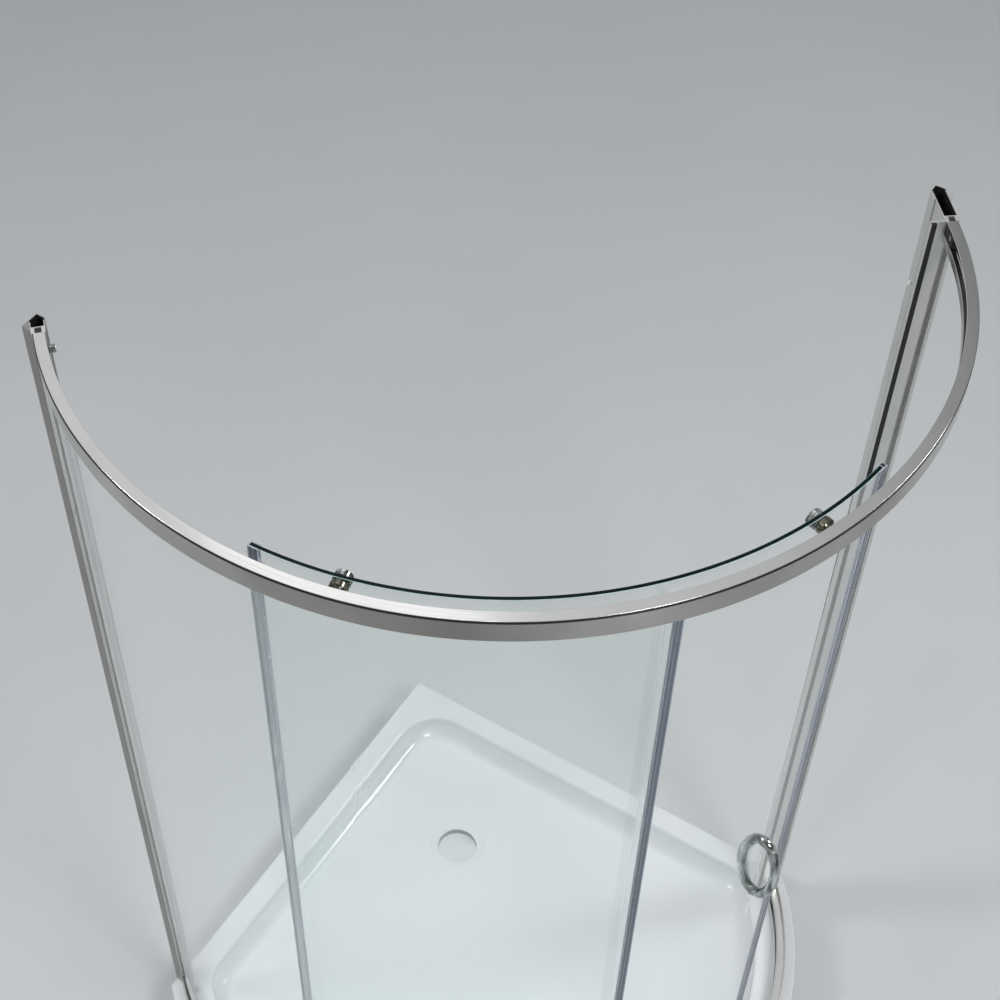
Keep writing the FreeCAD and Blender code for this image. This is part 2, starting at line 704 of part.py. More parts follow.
def fin(inner, outer, bearing, low, high):
    """Thin radial blade that starts at a bearing."""
    return band(inner, outer, low, high, bearing, bearing + arc_degrees(FIN_THICKNESS, outer))


def fixed_seal():
    """Clear channel on the fixed glass's free edge, with a blade towards the door."""
    start = FIXED_EDGE_BEARING - arc_degrees(FIXED_SEAL_WIDTH, RAIL_MIDDLE)
    channel = band(FIXED_INNER - SEAL_WALL, FIXED_OUTER + SEAL_WALL, OPENING_BOTTOM, OPENING_TOP,
                   start, FIXED_EDGE_BEARING)
    tip = DOOR_OUTER + SEAL_WALL + FIN_GAP
    blade = fin(tip, FIXED_INNER - SEAL_WALL, start, OPENING_BOTTOM, OPENING_TOP)
    return fused([channel, blade]).cut(fixed_glass())


def door_glass_start():
    """Bearing of the door glass's left edge."""
    return DOOR_LEFT_BEARING + arc_degrees(SEAL_OVER_EDGE, DOOR_MIDDLE)


def door_glass_end():
    """Bearing of the door glass's right edge."""
    return DOOR_RIGHT_BEARING - arc_degrees(MAGNET_WIDTH + SEAL_OVER_EDGE, DOOR_MIDDLE)


def door_blank():
    """Door glass before drilling."""
    return band(DOOR_INNER, DOOR_OUTER, DOOR_BOTTOM, RAIL_TOP, door_glass_start(), door_glass_end())


def roller_bearings():
    """Bearings of the left and right rollers."""
    return DOOR_LEFT_BEARING + ROLLER_INSET, DOOR_RIGHT_BEARING - ROLLER_INSET


def roller_places():
    """Bearing and axle height of each roller: top left, top right, bottom left, bottom right."""
    return [(bearing, height) for height in (TOP_AXLE_Z, BOTTOM_AXLE_Z) for bearing in roller_bearings()]


def clearance_bore(diameter, height):
    """Cutting rod through the door glass and its washers."""
    return rod(diameter / 2.0 + HOLE_CLEARANCE, DOOR_INNER - CUT_PAST, DOOR_OUTER + CUT_PAST, height)


def door_glass():
    """Curved door panel, drilled for the rollers and the handle."""
    holes = [turned(clearance_bore(AXLE_DIAMETER, height), bearing)
             for bearing, height in roller_places()]
    for height in handle_stud_heights():
        holes.append(turned(clearance_bore(HANDLE_STUD_DIAMETER, height), HANDLE_BEARING))
    return door_blank().cut(group(holes))


def door_seal_band(start, end):
    """Curved block round the door glass's edge, before the glass is cut from it."""
    return band(DOOR_INNER - SEAL_WALL, DOOR_OUTER + SEAL_WALL, DOOR_BOTTOM, RAIL_TOP, start, end)


def door_left_seal():
    """Clear channel on the door's left edge, with a blade towards the fixed panel."""
    stop = DOOR_LEFT_BEARING + arc_degrees(DOOR_SEAL_WIDTH, DOOR_MIDDLE)
    channel = door_seal_band(DOOR_LEFT_BEARING, stop)
    tip = RAIL_INNER - FIN_GAP
    start = stop - arc_degrees(FIN_THICKNESS, tip)
    blade = fin(DOOR_OUTER + SEAL_WALL, tip, start, OPENING_BOTTOM, OPENING_TOP)
    return fused([channel, blade]).cut(door_blank())


def door_magnet():
    """Magnet strip inside the door's right seal."""
    skin = SEAL_OVER_EDGE / 2.0
    start = DOOR_RIGHT_BEARING - arc_degrees(MAGNET_WIDTH + skin, DOOR_MIDDLE)
    stop = DOOR_RIGHT_BEARING - arc_degrees(skin, DOOR_MIDDLE)
    return band(DOOR_INNER, DOOR_OUTER, DOOR_BOTTOM, RAIL_TOP, start, stop)


def door_right_seal():
    """Clear channel on the door's right edge that holds the magnet strip."""
    start = DOOR_RIGHT_BEARING - arc_degrees(DOOR_SEAL_WIDTH, DOOR_MIDDLE)
    channel = door_seal_band(start, DOOR_RIGHT_BEARING)
    return channel.cut(door_blank()).cut(door_magnet())


def door_wiper():
    """Soft strip under the door glass, just clear of the tray's rim."""
    half = WIPER_WIDTH / 2.0
    return band(DOOR_MIDDLE - half, DOOR_MIDDLE + half, RIM + WIPER_GAP, DOOR_BOTTOM,
                door_glass_start(), door_glass_end())


def inner_washer_seat(diameter):
    """Radius of the outer face of a washer on the inside of the door glass."""
    return flat_seat(DOOR_INNER, diameter / 2.0)


def roller_washers():
    """Soft washers on both sides of the glass at each roller."""
    radius = WASHER_DIAMETER / 2.0
    seat = inner_washer_seat(WASHER_DIAMETER)
    washers = []
    for bearing, height in roller_places():
        bore = clearance_bore(AXLE_DIAMETER, height)
        inner = rod(radius, seat - WASHER_THICKNESS, seat, height).cut(bore)
        outer = rod(radius, DOOR_OUTER, DOOR_OUTER + WASHER_THICKNESS, height).cut(bore)
        washers.extend([turned(inner, bearing), turned(outer, bearing)])
    return group(washers)


def cap_face():
    """Radius of the roller caps' faces against the inner washers."""
    return inner_washer_seat(WASHER_DIAMETER) - WASHER_THICKNESS


def flange_start():
    """Radius of the roller flanges' faces against the outer washers."""
    return DOOR_OUTER + WASHER_THICKNESS


def wheel_start():
    """Radius where the wheels begin; the wheels are centred on the track's rib."""
    return RAIL_MIDDLE - WHEEL_WIDTH / 2.0


def roller_axles():
    """Axles through cap, glass and flange to the wheels, each with a shoulder before its wheel."""
    first = cap_face() - CAP_SOCKET_DEPTH
    last = RAIL_RADIUS - RAIL_WALL - AXLE_END
    flange_end = flange_start() + FLANGE_THICKNESS
    axles = []
    for bearing, height in roller_places():
        spindle = rod(AXLE_DIAMETER / 2.0, first, last, height)
        shoulder = rod(AXLE_SHOULDER_DIAMETER / 2.0, flange_end, wheel_start() - RUN_GAP, height)
        axles.append(turned(fused([spindle, shoulder]), bearing))
    return group(axles)


def roller_caps():
    """Round caps on the inside of the door."""
    front = cap_face() - CAP_LENGTH
    socket_floor = cap_face() - CAP_SOCKET_DEPTH
    caps = []
    for bearing, height in roller_places():
        cap = rod(CAP_DIAMETER / 2.0, front, cap_face(), height)
        front_edge = [edge for edge in cap.Edges if edge.BoundBox.XMax < front + CAP_EDGE_ROUND]
        cap = cap.makeFillet(CAP_EDGE_ROUND, front_edge)
        socket = rod(AXLE_DIAMETER / 2.0 + HOLE_CLEARANCE, socket_floor, cap_face(), height)
        caps.append(turned(cap.cut(socket), bearing))
    return group(caps)


def roller_flanges():
    """Round flanges between the glass and the rail."""
    start = flange_start()
    stop = start + FLANGE_THICKNESS
    flanges = []
    for bearing, height in roller_places():
        flange = rod(FLANGE_DIAMETER / 2.0, start, stop, height)
        bore = rod(AXLE_DIAMETER / 2.0 + HOLE_CLEARANCE, start, stop, height)
        flanges.append(turned(flange.cut(bore), bearing))
    return group(flanges)


def axle_clips():
    """Retaining rings on the axles' ends."""
    start = wheel_start() + WHEEL_WIDTH + RUN_GAP
    clips = []
    for bearing, height in roller_places():
        clip = rod(CLIP_DIAMETER / 2.0, start, start + CLIP_THICKNESS, height)
        bore = rod(AXLE_DIAMETER / 2.0, start, start + CLIP_THICKNESS, height)
        clips.append(turned(clip.cut(bore), bearing))
    return group(clips)


def wheel(bearing, height):
    """Grooved wheel that runs on the track's rib."""
    groove_half = RIB_WIDTH / 2.0 + WHEEL_GROOVE_CLEARANCE
    groove_floor = WHEEL_RADIUS - RIB_HEIGHT
    bore = AXLE_DIAMETER / 2.0 + AXLE_RUN_CLEARANCE
    half = WHEEL_WIDTH / 2.0
    section = [
        (-half, bore), (half, bore), (half, WHEEL_RADIUS), (groove_half, WHEEL_RADIUS),
        (groove_half, groove_floor), (-groove_half, groove_floor), (-groove_half, WHEEL_RADIUS),
        (-half, WHEEL_RADIUS),
    ]
    corners = [FreeCAD.Vector(RAIL_MIDDLE + along, 0.0, height + away) for along, away in section]
    face = Part.Face(Part.makePolygon(corners + corners[:1]))
    axis_point = FreeCAD.Vector(0.0, 0.0, height)
    return turned(face.revolve(axis_point, FreeCAD.Vector(1.0, 0.0, 0.0), 360.0), bearing)


def handle_stud_heights():
    """Heights of the two handle studs."""
    return HANDLE_Z - HANDLE_HALF_HEIGHT, HANDLE_Z + HANDLE_HALF_HEIGHT


def handle_path(direction):
    """Half oval of three tangent arcs in the radial plane at bearing 0, from the lower stud up."""
    rise = HANDLE_HALF_HEIGHT - HANDLE_END_RADIUS
    side_radius = ((HANDLE_DEPTH ** 2 + rise ** 2 - HANDLE_END_RADIUS ** 2)
                   / (2.0 * (HANDLE_DEPTH - HANDLE_END_RADIUS)))
    side_centre = HANDLE_DEPTH - side_radius
    lean = math.atan2(rise, -side_centre)

    def point(depth, height):
        return FreeCAD.Vector(DOOR_MIDDLE + direction * depth, 0.0, HANDLE_Z + height)

    def end_point(angle, sign):
        height = rise + HANDLE_END_RADIUS * math.sin(angle)
        return point(HANDLE_END_RADIUS * math.cos(angle), sign * height)

    half_way = (lean + math.pi / 2.0) / 2.0
    lower = Part.Arc(end_point(math.pi / 2.0, -1.0), end_point(half_way, -1.0), end_point(lean, -1.0))
    side = Part.Arc(end_point(lean, -1.0), point(HANDLE_DEPTH, 0.0), end_point(lean, 1.0))
    upper = Part.Arc(end_point(lean, 1.0), end_point(half_way, 1.0), end_point(math.pi / 2.0, 1.0))
    return Part.Wire([lower.toShape(), side.toShape(), upper.toShape()])


def handle_half(direction, seat):
    """Half oval tube that ends square on its washers and is bored for the studs."""
    tube_radius = HANDLE_TUBE_DIAMETER / 2.0
    start = FreeCAD.Vector(DOOR_MIDDLE, 0.0, HANDLE_Z - HANDLE_HALF_HEIGHT)
    circle = Part.Wire([Part.makeCircle(tube_radius, start, FreeCAD.Vector(direction, 0.0, 0.0))])
    tube = handle_path(direction).makePipeShell([circle], True, False)
    tall = 2.0 * (HANDLE_HALF_HEIGHT + HANDLE_TUBE_DIAMETER)
    corner = FreeCAD.Vector(min(seat, DOOR_MIDDLE), -HANDLE_TUBE_DIAMETER, HANDLE_Z - tall / 2.0)
    tube = tube.cut(Part.makeBox(abs(seat - DOOR_MIDDLE), 2.0 * HANDLE_TUBE_DIAMETER, tall, corner))
    for height in handle_stud_heights():
        ends = sorted((seat, seat + direction * HANDLE_STUD_BITE))
        tube = tube.cut(rod(HANDLE_STUD_DIAMETER / 2.0 + HOLE_CLEARANCE, ends[0], ends[1], height))
    return turned(tube, HANDLE_BEARING)


def handle_outer_seat():
    """Radius where the outer half of the handle begins."""
    return DOOR_OUTER + WASHER_THICKNESS


def handle_inner_seat():
    """Radius where the inner half of the handle begins."""
    return inner_washer_seat(HANDLE_WASHER_DIAMETER) - WASHER_THICKNESS


def handle_washers():
    """Soft washers between the handle's ends and the glass."""
    radius = HANDLE_WASHER_DIAMETER / 2.0
    seat = inner_washer_seat(HANDLE_WASHER_DIAMETER)
    washers = []
    for height in handle_stud_heights():
        bore = clearance_bore(HANDLE_STUD_DIAMETER, height)
        inner = rod(radius, seat - WASHER_THICKNESS, seat, height).cut(bore)
        outer = rod(radius, DOOR_OUTER, DOOR_OUTER + WASHER_THICKNESS, height).cut(bore)
        washers.extend([turned(inner, HANDLE_BEARING), turned(outer, HANDLE_BEARING)])
    return group(washers)


def handle_studs():
    """Studs through the glass that join the two halves."""
    low = handle_inner_seat() - HANDLE_STUD_BITE
    high = handle_outer_seat() + HANDLE_STUD_BITE
    return group([turned(rod(HANDLE_STUD_DIAMETER / 2.0, low, high, height), HANDLE_BEARING)
                  for height in handle_stud_heights()])


def main():
    """Build and write every node."""
    os.makedirs("parts", exist_ok=True)
    nodes = {
        "tray": tray(),
        "tray_foot_pads": foot_pads(),
        "tray_foot_studs": foot_studs(),
        "tray_foot_nuts": foot_nuts(),
        "wall_channel_left": wall_channel(LEFT),
        "wall_channel_right": wall_channel(RIGHT),
        "jamb_left": jamb(LEFT),
        "strike_jamb_right": strike_jamb(),
        "strike_magnet": strike_magnet(),
        "jamb_screws": jamb_screws(),
        "screw_caps": screw_caps(),
        "top_rail": top_rail(),
        "bottom_rail": bottom_rail(),
        "rail_end_blocks": rail_end_blocks(),
        "rail_knob_screws": group([knob_screw(True), knob_screw(False)]),
        "rail_flush_screws": group([flush_screw(True), flush_screw(False)]),
        "fixed_glass": fixed_glass(),
        "fixed_edge_seal": fixed_seal(),
        "top_gasket": top_gasket(),
        "bottom_gasket": bottom_gasket(),
        "jamb_gasket": jamb_gasket(),
        "door_glass": door_glass(),
        "door_left_seal": door_left_seal(),
        "door_right_seal": door_right_seal(),
        "door_magnet": door_magnet(),
        "door_wiper": door_wiper(),
        "roller_axles": roller_axles(),
        "roller_caps": roller_caps(),
        "roller_flanges": roller_flanges(),
        "roller_washers": roller_washers(),
        "axle_clips": axle_clips(),
        "handle_outer": handle_half(1.0, handle_outer_seat()),
        "handle_inner": handle_half(-1.0, handle_inner_seat()),
        "handle_washers": handle_washers(),
        "handle_studs": handle_studs(),
    }
    wheel_names = ("top_wheel_left", "top_wheel_right", "bottom_wheel_left", "bottom_wheel_right")
    for name, (bearing, height) in zip(wheel_names, roller_places()):
        nodes[name] = wheel(bearing, height)
    for name, shape in nodes.items():
        export(name, shape)
        print(name, len(shape.Solids), "solids", round(shape.Volume), "mm3", shape.isValid())


main()
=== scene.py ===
import json
import logging
import math
from dataclasses import dataclass, field
from enum import Enum
from typing import Any, Optional, Sequence, Union

import bmesh
import bpy
from mathutils import Euler, Matrix, Vector
from mathutils.bvhtree import BVHTree

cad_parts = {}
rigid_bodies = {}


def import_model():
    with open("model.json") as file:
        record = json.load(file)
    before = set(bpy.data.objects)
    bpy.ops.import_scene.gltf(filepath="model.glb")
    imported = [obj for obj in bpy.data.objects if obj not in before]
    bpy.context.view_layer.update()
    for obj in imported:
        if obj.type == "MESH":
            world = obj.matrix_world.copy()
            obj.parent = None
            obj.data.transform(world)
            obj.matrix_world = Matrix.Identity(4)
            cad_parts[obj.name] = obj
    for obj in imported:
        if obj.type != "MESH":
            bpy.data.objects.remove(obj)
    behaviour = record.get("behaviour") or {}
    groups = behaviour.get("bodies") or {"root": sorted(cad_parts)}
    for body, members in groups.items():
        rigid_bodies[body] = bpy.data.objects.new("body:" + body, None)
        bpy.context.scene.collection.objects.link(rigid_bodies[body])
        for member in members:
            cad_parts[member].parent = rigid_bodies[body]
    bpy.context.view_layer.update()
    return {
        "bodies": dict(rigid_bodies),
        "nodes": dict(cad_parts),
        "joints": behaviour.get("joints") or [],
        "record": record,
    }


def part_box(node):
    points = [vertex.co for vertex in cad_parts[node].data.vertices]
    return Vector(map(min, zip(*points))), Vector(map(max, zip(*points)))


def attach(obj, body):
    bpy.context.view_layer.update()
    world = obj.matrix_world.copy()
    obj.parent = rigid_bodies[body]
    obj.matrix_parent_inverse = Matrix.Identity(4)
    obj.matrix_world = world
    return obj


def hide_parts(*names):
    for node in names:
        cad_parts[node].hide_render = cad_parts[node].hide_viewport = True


# Looks of a corner shower enclosure with a round front, in metres, in the frame of its solids.
# Bearings are degrees about the rails' common upright axis, anticlockwise from +X.
# Outlines across a rail, a pane or a seal are (radius, height) or (radius, run) pairs.

LOG = logging.getLogger("shower_enclosure")

# Steps and angles of the meshes
SWEEP_STEP = 0.9
FILLET_STEPS = 3
FILLET_SHARE = 0.45
LATHE_SEGMENTS = 64
CREASE = math.radians(32.0)
SHARP = math.radians(35.0)
FLAT = math.radians(0.3)
SAME_PLACE = 1e-6
EVEN_BEVEL = 0.5

# Hollows of the wall profiles, whose upright faces get painted shade
HOLLOW_SPAN = 0.09
CLOSE = 0.0001
UPRIGHT = 0.5

# Levels of a cloudy pattern that its tones or its gloss are spread over
PATTERN_LOW = 0.3
PATTERN_HIGH = 0.7

STUD_RADIUS = 0.003

Pair = tuple[float, float]
Triple = tuple[float, float, float]
Colour = tuple[float, float, float, float]
Loop = list[Vector]
Round = tuple[Vector, float, Vector, Vector]
Socket = bpy.types.NodeSocket
Value = Union[float, Colour, Triple, Socket]


def srgb(red: int, green: int, blue: int) -> Colour:
    """Colour as the nodes take it.

    Args:
        red, green, blue: the colour as a screen shows it, 0 to 255.

    Returns:
        The same colour in linear light, opaque.
    """
    def linear(level: int) -> float:
        """One channel in linear light."""
        share = level / 255.0
        return share / 12.92 if share <= 0.04045 else ((share + 0.055) / 1.055) ** 2.4
    return linear(red), linear(green), linear(blue), 1.0


def fillet(points: Sequence[Pair], radius: float, steps: int = FILLET_STEPS) -> list[Pair]:
    """Round every corner of a closed outline.

    Args:
        points: the outline's corners in order.
        radius: radius of the rounds; a short side limits it.
        steps: straight pieces in each round.

    Returns:
        The rounded outline.
    """
    rounded: list[Pair] = []
    for index, corner in enumerate(points):
        here = Vector(corner)
        back = Vector(points[index - 1]) - here
        ahead = Vector(points[(index + 1) % len(points)]) - here
        half = back.angle(ahead) / 2.0
        reach = min(radius / math.tan(half), FILLET_SHARE * min(back.length, ahead.length))
        back.normalize()
        ahead.normalize()
        centre = here + (back + ahead).normalized() * (reach / math.cos(half))
        first = here + back * reach - centre
        last = here + ahead * reach - centre
        start = math.atan2(first.y, first.x)
        turn = math.remainder(math.atan2(last.y, last.x) - start, math.tau)
        for step in range(steps + 1):
            angle = start + turn * step / steps
            rounded.append((centre.x + first.length * math.cos(angle),
                            centre.y + first.length * math.sin(angle)))
    return rounded


def side_finishes(corners: int, numbers: dict[int, int],
                  steps: int = FILLET_STEPS) -> list[int]:
    """Finish number of each side of a rounded outline.

    Args:
        corners: corners of the outline before it was rounded.
        numbers: finish numbers by straight side, counted from the first corner; 0 if left out.
        steps: straight pieces in each round.

    Returns:
        One number for each side; a round takes the number of the straight side after it.
    """
    found: list[int] = []
    for corner in range(corners):
        found += [numbers.get(corner, 0)] * (steps + 1)
    return found


def quarter(steps: int) -> list[float]:
    """Angles of a quarter turn in radians, from 0 up."""
    return [math.pi / 2.0 * step / steps for step in range(steps + 1)]


@dataclass(frozen=True)
class Plan:
    """Plan of the round front, about the rails' upright axis."""

    x: float
    y: float

    def point(self, radius: float, bearing: float, height: float) -> Vector:
        """Point from a radius, a bearing and a height."""
        angle = math.radians(bearing)
        east = self.x + radius * math.cos(angle)
        north = self.y + radius * math.sin(angle)
        return Vector((east, north, height))

    def station(self, bearing: float, height: float = 0.0) -> Matrix:
        """Frame on the axis whose x runs outwards along a bearing."""
        turn = Matrix.Rotation(math.radians(bearing), 4, "Z")
        return Matrix.Translation((self.x, self.y, height)) @ turn

    def bearing(self, place: Sequence[float]) -> float:
        """Bearing of a place in degrees."""
        return math.degrees(math.atan2(place[1] - self.y, place[0] - self.x))

    @staticmethod
    def spread(length: float, radius: float) -> float:
        """Degrees that a length takes up along an arc."""
        return math.degrees(length / radius)


@dataclass(frozen=True)
class Front:
    """Sizes that the pieces of the round front share; bearings in degrees."""

    wall_to_axis: float
    rail_outer: float = 0.640
    rail_width: float = 0.017
    left_reach: float = 0.027
    right_reach: float = 0.062
    glass: float = 0.006
    slot_depth: float = 0.011
    gasket_wall: float = 0.0015
    fixed_edge: float = -38.7
    fixed_seal_width: float = 0.012
    seal_over_edge: float = 0.0015
    door_left: float = -88.1
    door_span: float = 80.5
    door_to_rail: float = 0.016
    door_seal_width: float = 0.015
    magnet_width: float = 0.005
    wiper_width: float = 0.004

    @property
    def rail_inner(self) -> float:
        """Radius of the rails' inner side."""
        return self.rail_outer - self.rail_width

    @property
    def rail_middle(self) -> float:
        """Radius of the rails' middle, which the fixed pane follows."""
        return self.rail_outer - self.rail_width / 2.0

    @property
    def rail_start(self) -> float:
        """Bearing of the rails' left end."""
        sine = (self.wall_to_axis - self.left_reach) / self.rail_middle
        return -90.0 - math.degrees(math.asin(sine))

    @property
    def rail_end(self) -> float:
        """Bearing of the rails' right end."""
        sine = (self.wall_to_axis - self.right_reach) / self.rail_middle
        return math.degrees(math.asin(sine))

    @property
    def fixed_glass_start(self) -> float:
        """Bearing of the fixed pane's edge inside the left jamb."""
        return self.rail_start - Plan.spread(self.slot_depth - self.gasket_wall, self.rail_middle)

    @property
    def fixed_glass_end(self) -> float:
        """Bearing of the fixed pane's free edge."""
        return self.fixed_edge - Plan.spread(self.seal_over_edge, self.rail_middle)

    @property
    def door_outer(self) -> float:
        """Radius of the door pane's outer face."""
        return self.rail_inner - self.door_to_rail

    @property
    def door_inner(self) -> float:
        """Radius of the door pane's inner face."""
        return self.door_outer - self.glass

    @property
    def door_middle(self) -> float:
        """Radius of the door pane's middle."""
        return self.door_outer - self.glass / 2.0

    @property
    def door_right(self) -> float:
        """Bearing of the door's right edge."""
        return self.door_left + self.door_span

    @property
    def door_glass_start(self) -> float:
        """Bearing of the door pane's left edge."""
        return self.door_left + Plan.spread(self.seal_over_edge, self.door_middle)

    @property
    def door_glass_end(self) -> float:
        """Bearing of the door pane's right edge."""
        covered = self.magnet_width + self.seal_over_edge
        return self.door_right - Plan.spread(covered, self.door_middle)


class Join(Enum):
    """Ways to join a tool to a piece."""

    ON = "UNION"
    AWAY = "DIFFERENCE"


class Shape:
    """A mesh in the making."""

    def __init__(self) -> None:
        """Start empty."""
        self.mesh = bmesh.new()

    def loft(self, loops: Sequence[Loop], ring: bool = False, sides: Sequence[int] = (),
             ends: int = 0, strips: Optional[dict[int, int]] = None) -> None:
        """Skin a row of closed loops that have the same number of points.

        Args:
            loops: the loops in order.
            ring: whether the last loop joins the first; otherwise both ends get a cap.
            sides: finish number of each side of the loops, all 0 if left out.
            ends: finish number of the caps.
            strips: finish number of whole strips between two loops, by their place in the row.
        """
        whole = strips or {}
        rows = [[self.mesh.verts.new(point) for point in loop] for loop in loops]
        count = len(rows[0])
        last = len(rows) if ring else len(rows) - 1
        for index in range(last):
            near = rows[index]
            far = rows[(index + 1) % len(rows)]
            for side in range(count):
                after = (side + 1) % count
                face = self.mesh.faces.new((near[side], near[after], far[after], far[side]))
                face.material_index = whole.get(index, sides[side] if sides else 0)
        if not ring:
            for row in (rows[0][::-1], rows[-1]):
                self.mesh.faces.new(row).material_index = ends

    def lathe(self, profile: Sequence[Pair], place: Matrix, ring: bool = False,
              segments: int = LATHE_SEGMENTS, finish: int = 0) -> None:
        """Turn a profile about the x axis of a place.

        Args:
            profile: (along the axis, away from it) pairs.
            place: frame that the axis belongs to.
            ring: whether the profile closes on itself, as round a bore.
            segments: flats round the turn.
            finish: finish number of the faces.
        """
        angles = [math.tau * index / segments for index in range(segments)]
        loops = [[place @ Vector((along, away * math.cos(a), away * math.sin(a))) for a in angles]
                 for along, away in profile]
        self.loft(loops, ring, [finish] * segments, finish)

    def done(self, name: str, finishes: Sequence[bpy.types.Material]) -> bpy.types.Object:
        """Close the mesh.

        Args:
            name: name of the piece.
            finishes: its materials, in the order of the finish numbers.

        Returns:
            The piece, in the scene.
        """
        bmesh.ops.recalc_face_normals(self.mesh, faces=self.mesh.faces[:])
        for face in self.mesh.faces:
            face.smooth = True
        data = bpy.data.meshes.new(name)
        self.mesh.to_mesh(data)
        self.mesh.free()
        data.set_sharp_from_angle(angle=CREASE)
        for finish in finishes:
            data.materials.append(finish)
        piece = bpy.data.objects.new(name, data)
        bpy.context.scene.collection.objects.link(piece)
        return piece


class Graph:
    """Node tree of a finish or of the sky."""

    def __init__(self, owner: Union[bpy.types.Material, bpy.types.World]) -> None:
        """Start with an empty tree."""
        self.owner = owner
        owner.use_nodes = True
        self.tree = owner.node_tree
        self.tree.nodes.clear()

    def add(self, kind: str, inputs: dict[Union[str, int], Value],
            **settings: Any) -> bpy.types.Node:
        """Add a node.

        Args:
            kind: node type without its ShaderNode prefix.
            inputs: constants or linked outputs by socket.
            settings: attributes of the node.

        Returns:
            The node.
        """
        node = self.tree.nodes.new("ShaderNode" + kind)
        for key, setting in settings.items():
            setattr(node, key, setting)
        for key, value in inputs.items():
            if isinstance(value, Socket):
                self.tree.links.new(value, node.inputs[key])
            else:
                node.inputs[key].default_value = value
        return node

    def place(self) -> Socket:
        """Place on the piece, in metres."""
        return self.add("TexCoord", {}).outputs["Object"]

    def round_place(self, plan: Plan) -> Socket:
        """Place as (bearing in radians, radius, height) about the rails' axis.

        Args:
            plan: plan of the round front.

        Returns:
            The place's output.
        """
        parts = self.add("SeparateXYZ", {0: self.place()})
        east, north = (
            self.add("Math", {0: parts.outputs[name], 1: middle}, operation="SUBTRACT").outputs[0]
            for name, middle in (("X", plan.x), ("Y", plan.y)))
        bearing = self.add("Math", {0: north, 1: east}, operation="ARCTAN2").outputs[0]
        flat = self.add("CombineXYZ", {"X": east, "Y": north}).outputs[0]
        radius = self.add("VectorMath", {0: flat}, operation="LENGTH").outputs["Value"]
        round_parts = {"X": bearing, "Y": radius, "Z": parts.outputs["Z"]}
        return self.add("CombineXYZ", round_parts).outputs[0]

    def stretched(self, place: Socket, scale: Triple) -> Socket:
        """A place scaled by different amounts along its three axes."""
        return self.add("VectorMath", {0: place, 1: scale}, operation="MULTIPLY").outputs[0]

    def noise(self, place: Socket, scale: float, detail: float = 3.0) -> Socket:
        """Cloudy pattern between 0 and 1."""
        inputs = {"Vector": place, "Scale": scale, "Detail": detail}
        return self.add("TexNoise", inputs).outputs["Fac"]

    def between(self, share: Socket, low: float, high: float) -> Socket:
        """A pattern's middle stretch set between two levels."""
        inputs = {"Value": share, "From Min": PATTERN_LOW, "From Max": PATTERN_HIGH,
                  "To Min": low, "To Max": high}
        return self.add("MapRange", inputs).outputs["Result"]

    def mix(self, share: Socket, first: Value, second: Value) -> Socket:
        """Colour between two others."""
        return self.add("Mix", {0: share, 6: first, 7: second}, data_type="RGBA").outputs[2]

    def tones(self, pattern: Socket, first: Colour, second: Colour) -> Socket:
        """Colour between two tones, as a pattern says."""
        return self.mix(self.between(pattern, 0.0, 1.0), first, second)

    def passage(self, level: Socket, span: Pair, first: Value, second: Value) -> Socket:
        """Pass softly from one colour to another.

        Args:
            level: number that decides.
            span: levels where the passage begins and ends.
            first: colour below the span.
            second: colour above it.

        Returns:
            The colour's output.
        """
        inputs = {"Value": level, "From Min": span[0], "From Max": span[1]}
        share = self.add("MapRange", inputs, interpolation_type="SMOOTHSTEP").outputs["Result"]
        return self.mix(share, first, second)

    def bump(self, height: Socket, depth: float) -> Socket:
        """Normal of a rough face, with the pattern's depth in metres."""
        inputs = {"Height": height, "Distance": depth, "Strength": 1.0}
        return self.add("Bump", inputs).outputs["Normal"]

    def principled(self, inputs: dict[Union[str, int], Value]) -> Socket:
        """The main shader."""
        return self.add("BsdfPrincipled", inputs).outputs[0]

    def done(self, shader: Socket) -> Union[bpy.types.Material, bpy.types.World]:
        """Close the tree with its output.

        Args:
            shader: the finished shader.

        Returns:
            The material or the sky that the tree belongs to.
        """
        sky = isinstance(self.owner, bpy.types.World)
        self.add("OutputWorld" if sky else "OutputMaterial", {"Surface": shader})
        return self.owner


class Grain(Enum):
    """Way that the marks of a drawn metal run, as scales of its place."""

    UPRIGHT = (900.0, 900.0, 4.0)
    ROUND = (6.0, 1400.0, 1400.0)
    SMOOTH = (60.0, 60.0, 60.0)


@dataclass(frozen=True)
class Metal:
    """Polished metal: fine drawing marks that vary the gloss, and a cloud that varies the tone,
    which on the chrome and the rail side is painted reflection.
    """

    name: str
    bright: Colour
    dull: Colour
    gloss: float
    haze: float
    grain: Grain
    mark_depth: float = 0.000004
    mark_detail: float = 2.0
    metallic: float = 1.0
    cloud_scale: Triple = (7.0, 7.0, 7.0)

    def material(self, plan: Plan) -> bpy.types.Material:
        """Make the finish.

        Args:
            plan: plan of the round front, for marks that follow it.

        Returns:
            The material.
        """
        graph = Graph(bpy.data.materials.new(self.name))
        place = graph.round_place(plan) if self.grain is Grain.ROUND else graph.place()
        marks = graph.noise(graph.stretched(place, self.grain.value), 1.0, self.mark_detail)
        # Tone cloud; where bright and dull lie far apart, as on the chrome and the rail side, it is
        # painted reflection
        cloud = graph.noise(graph.stretched(graph.place(), self.cloud_scale), 1.0)
        return graph.done(graph.principled({
            "Base Color": graph.tones(cloud, self.bright, self.dull),
            "Metallic": self.metallic,
            "Roughness": graph.between(marks, self.gloss, self.haze),
            "Normal": graph.bump(marks, self.mark_depth),
        }))


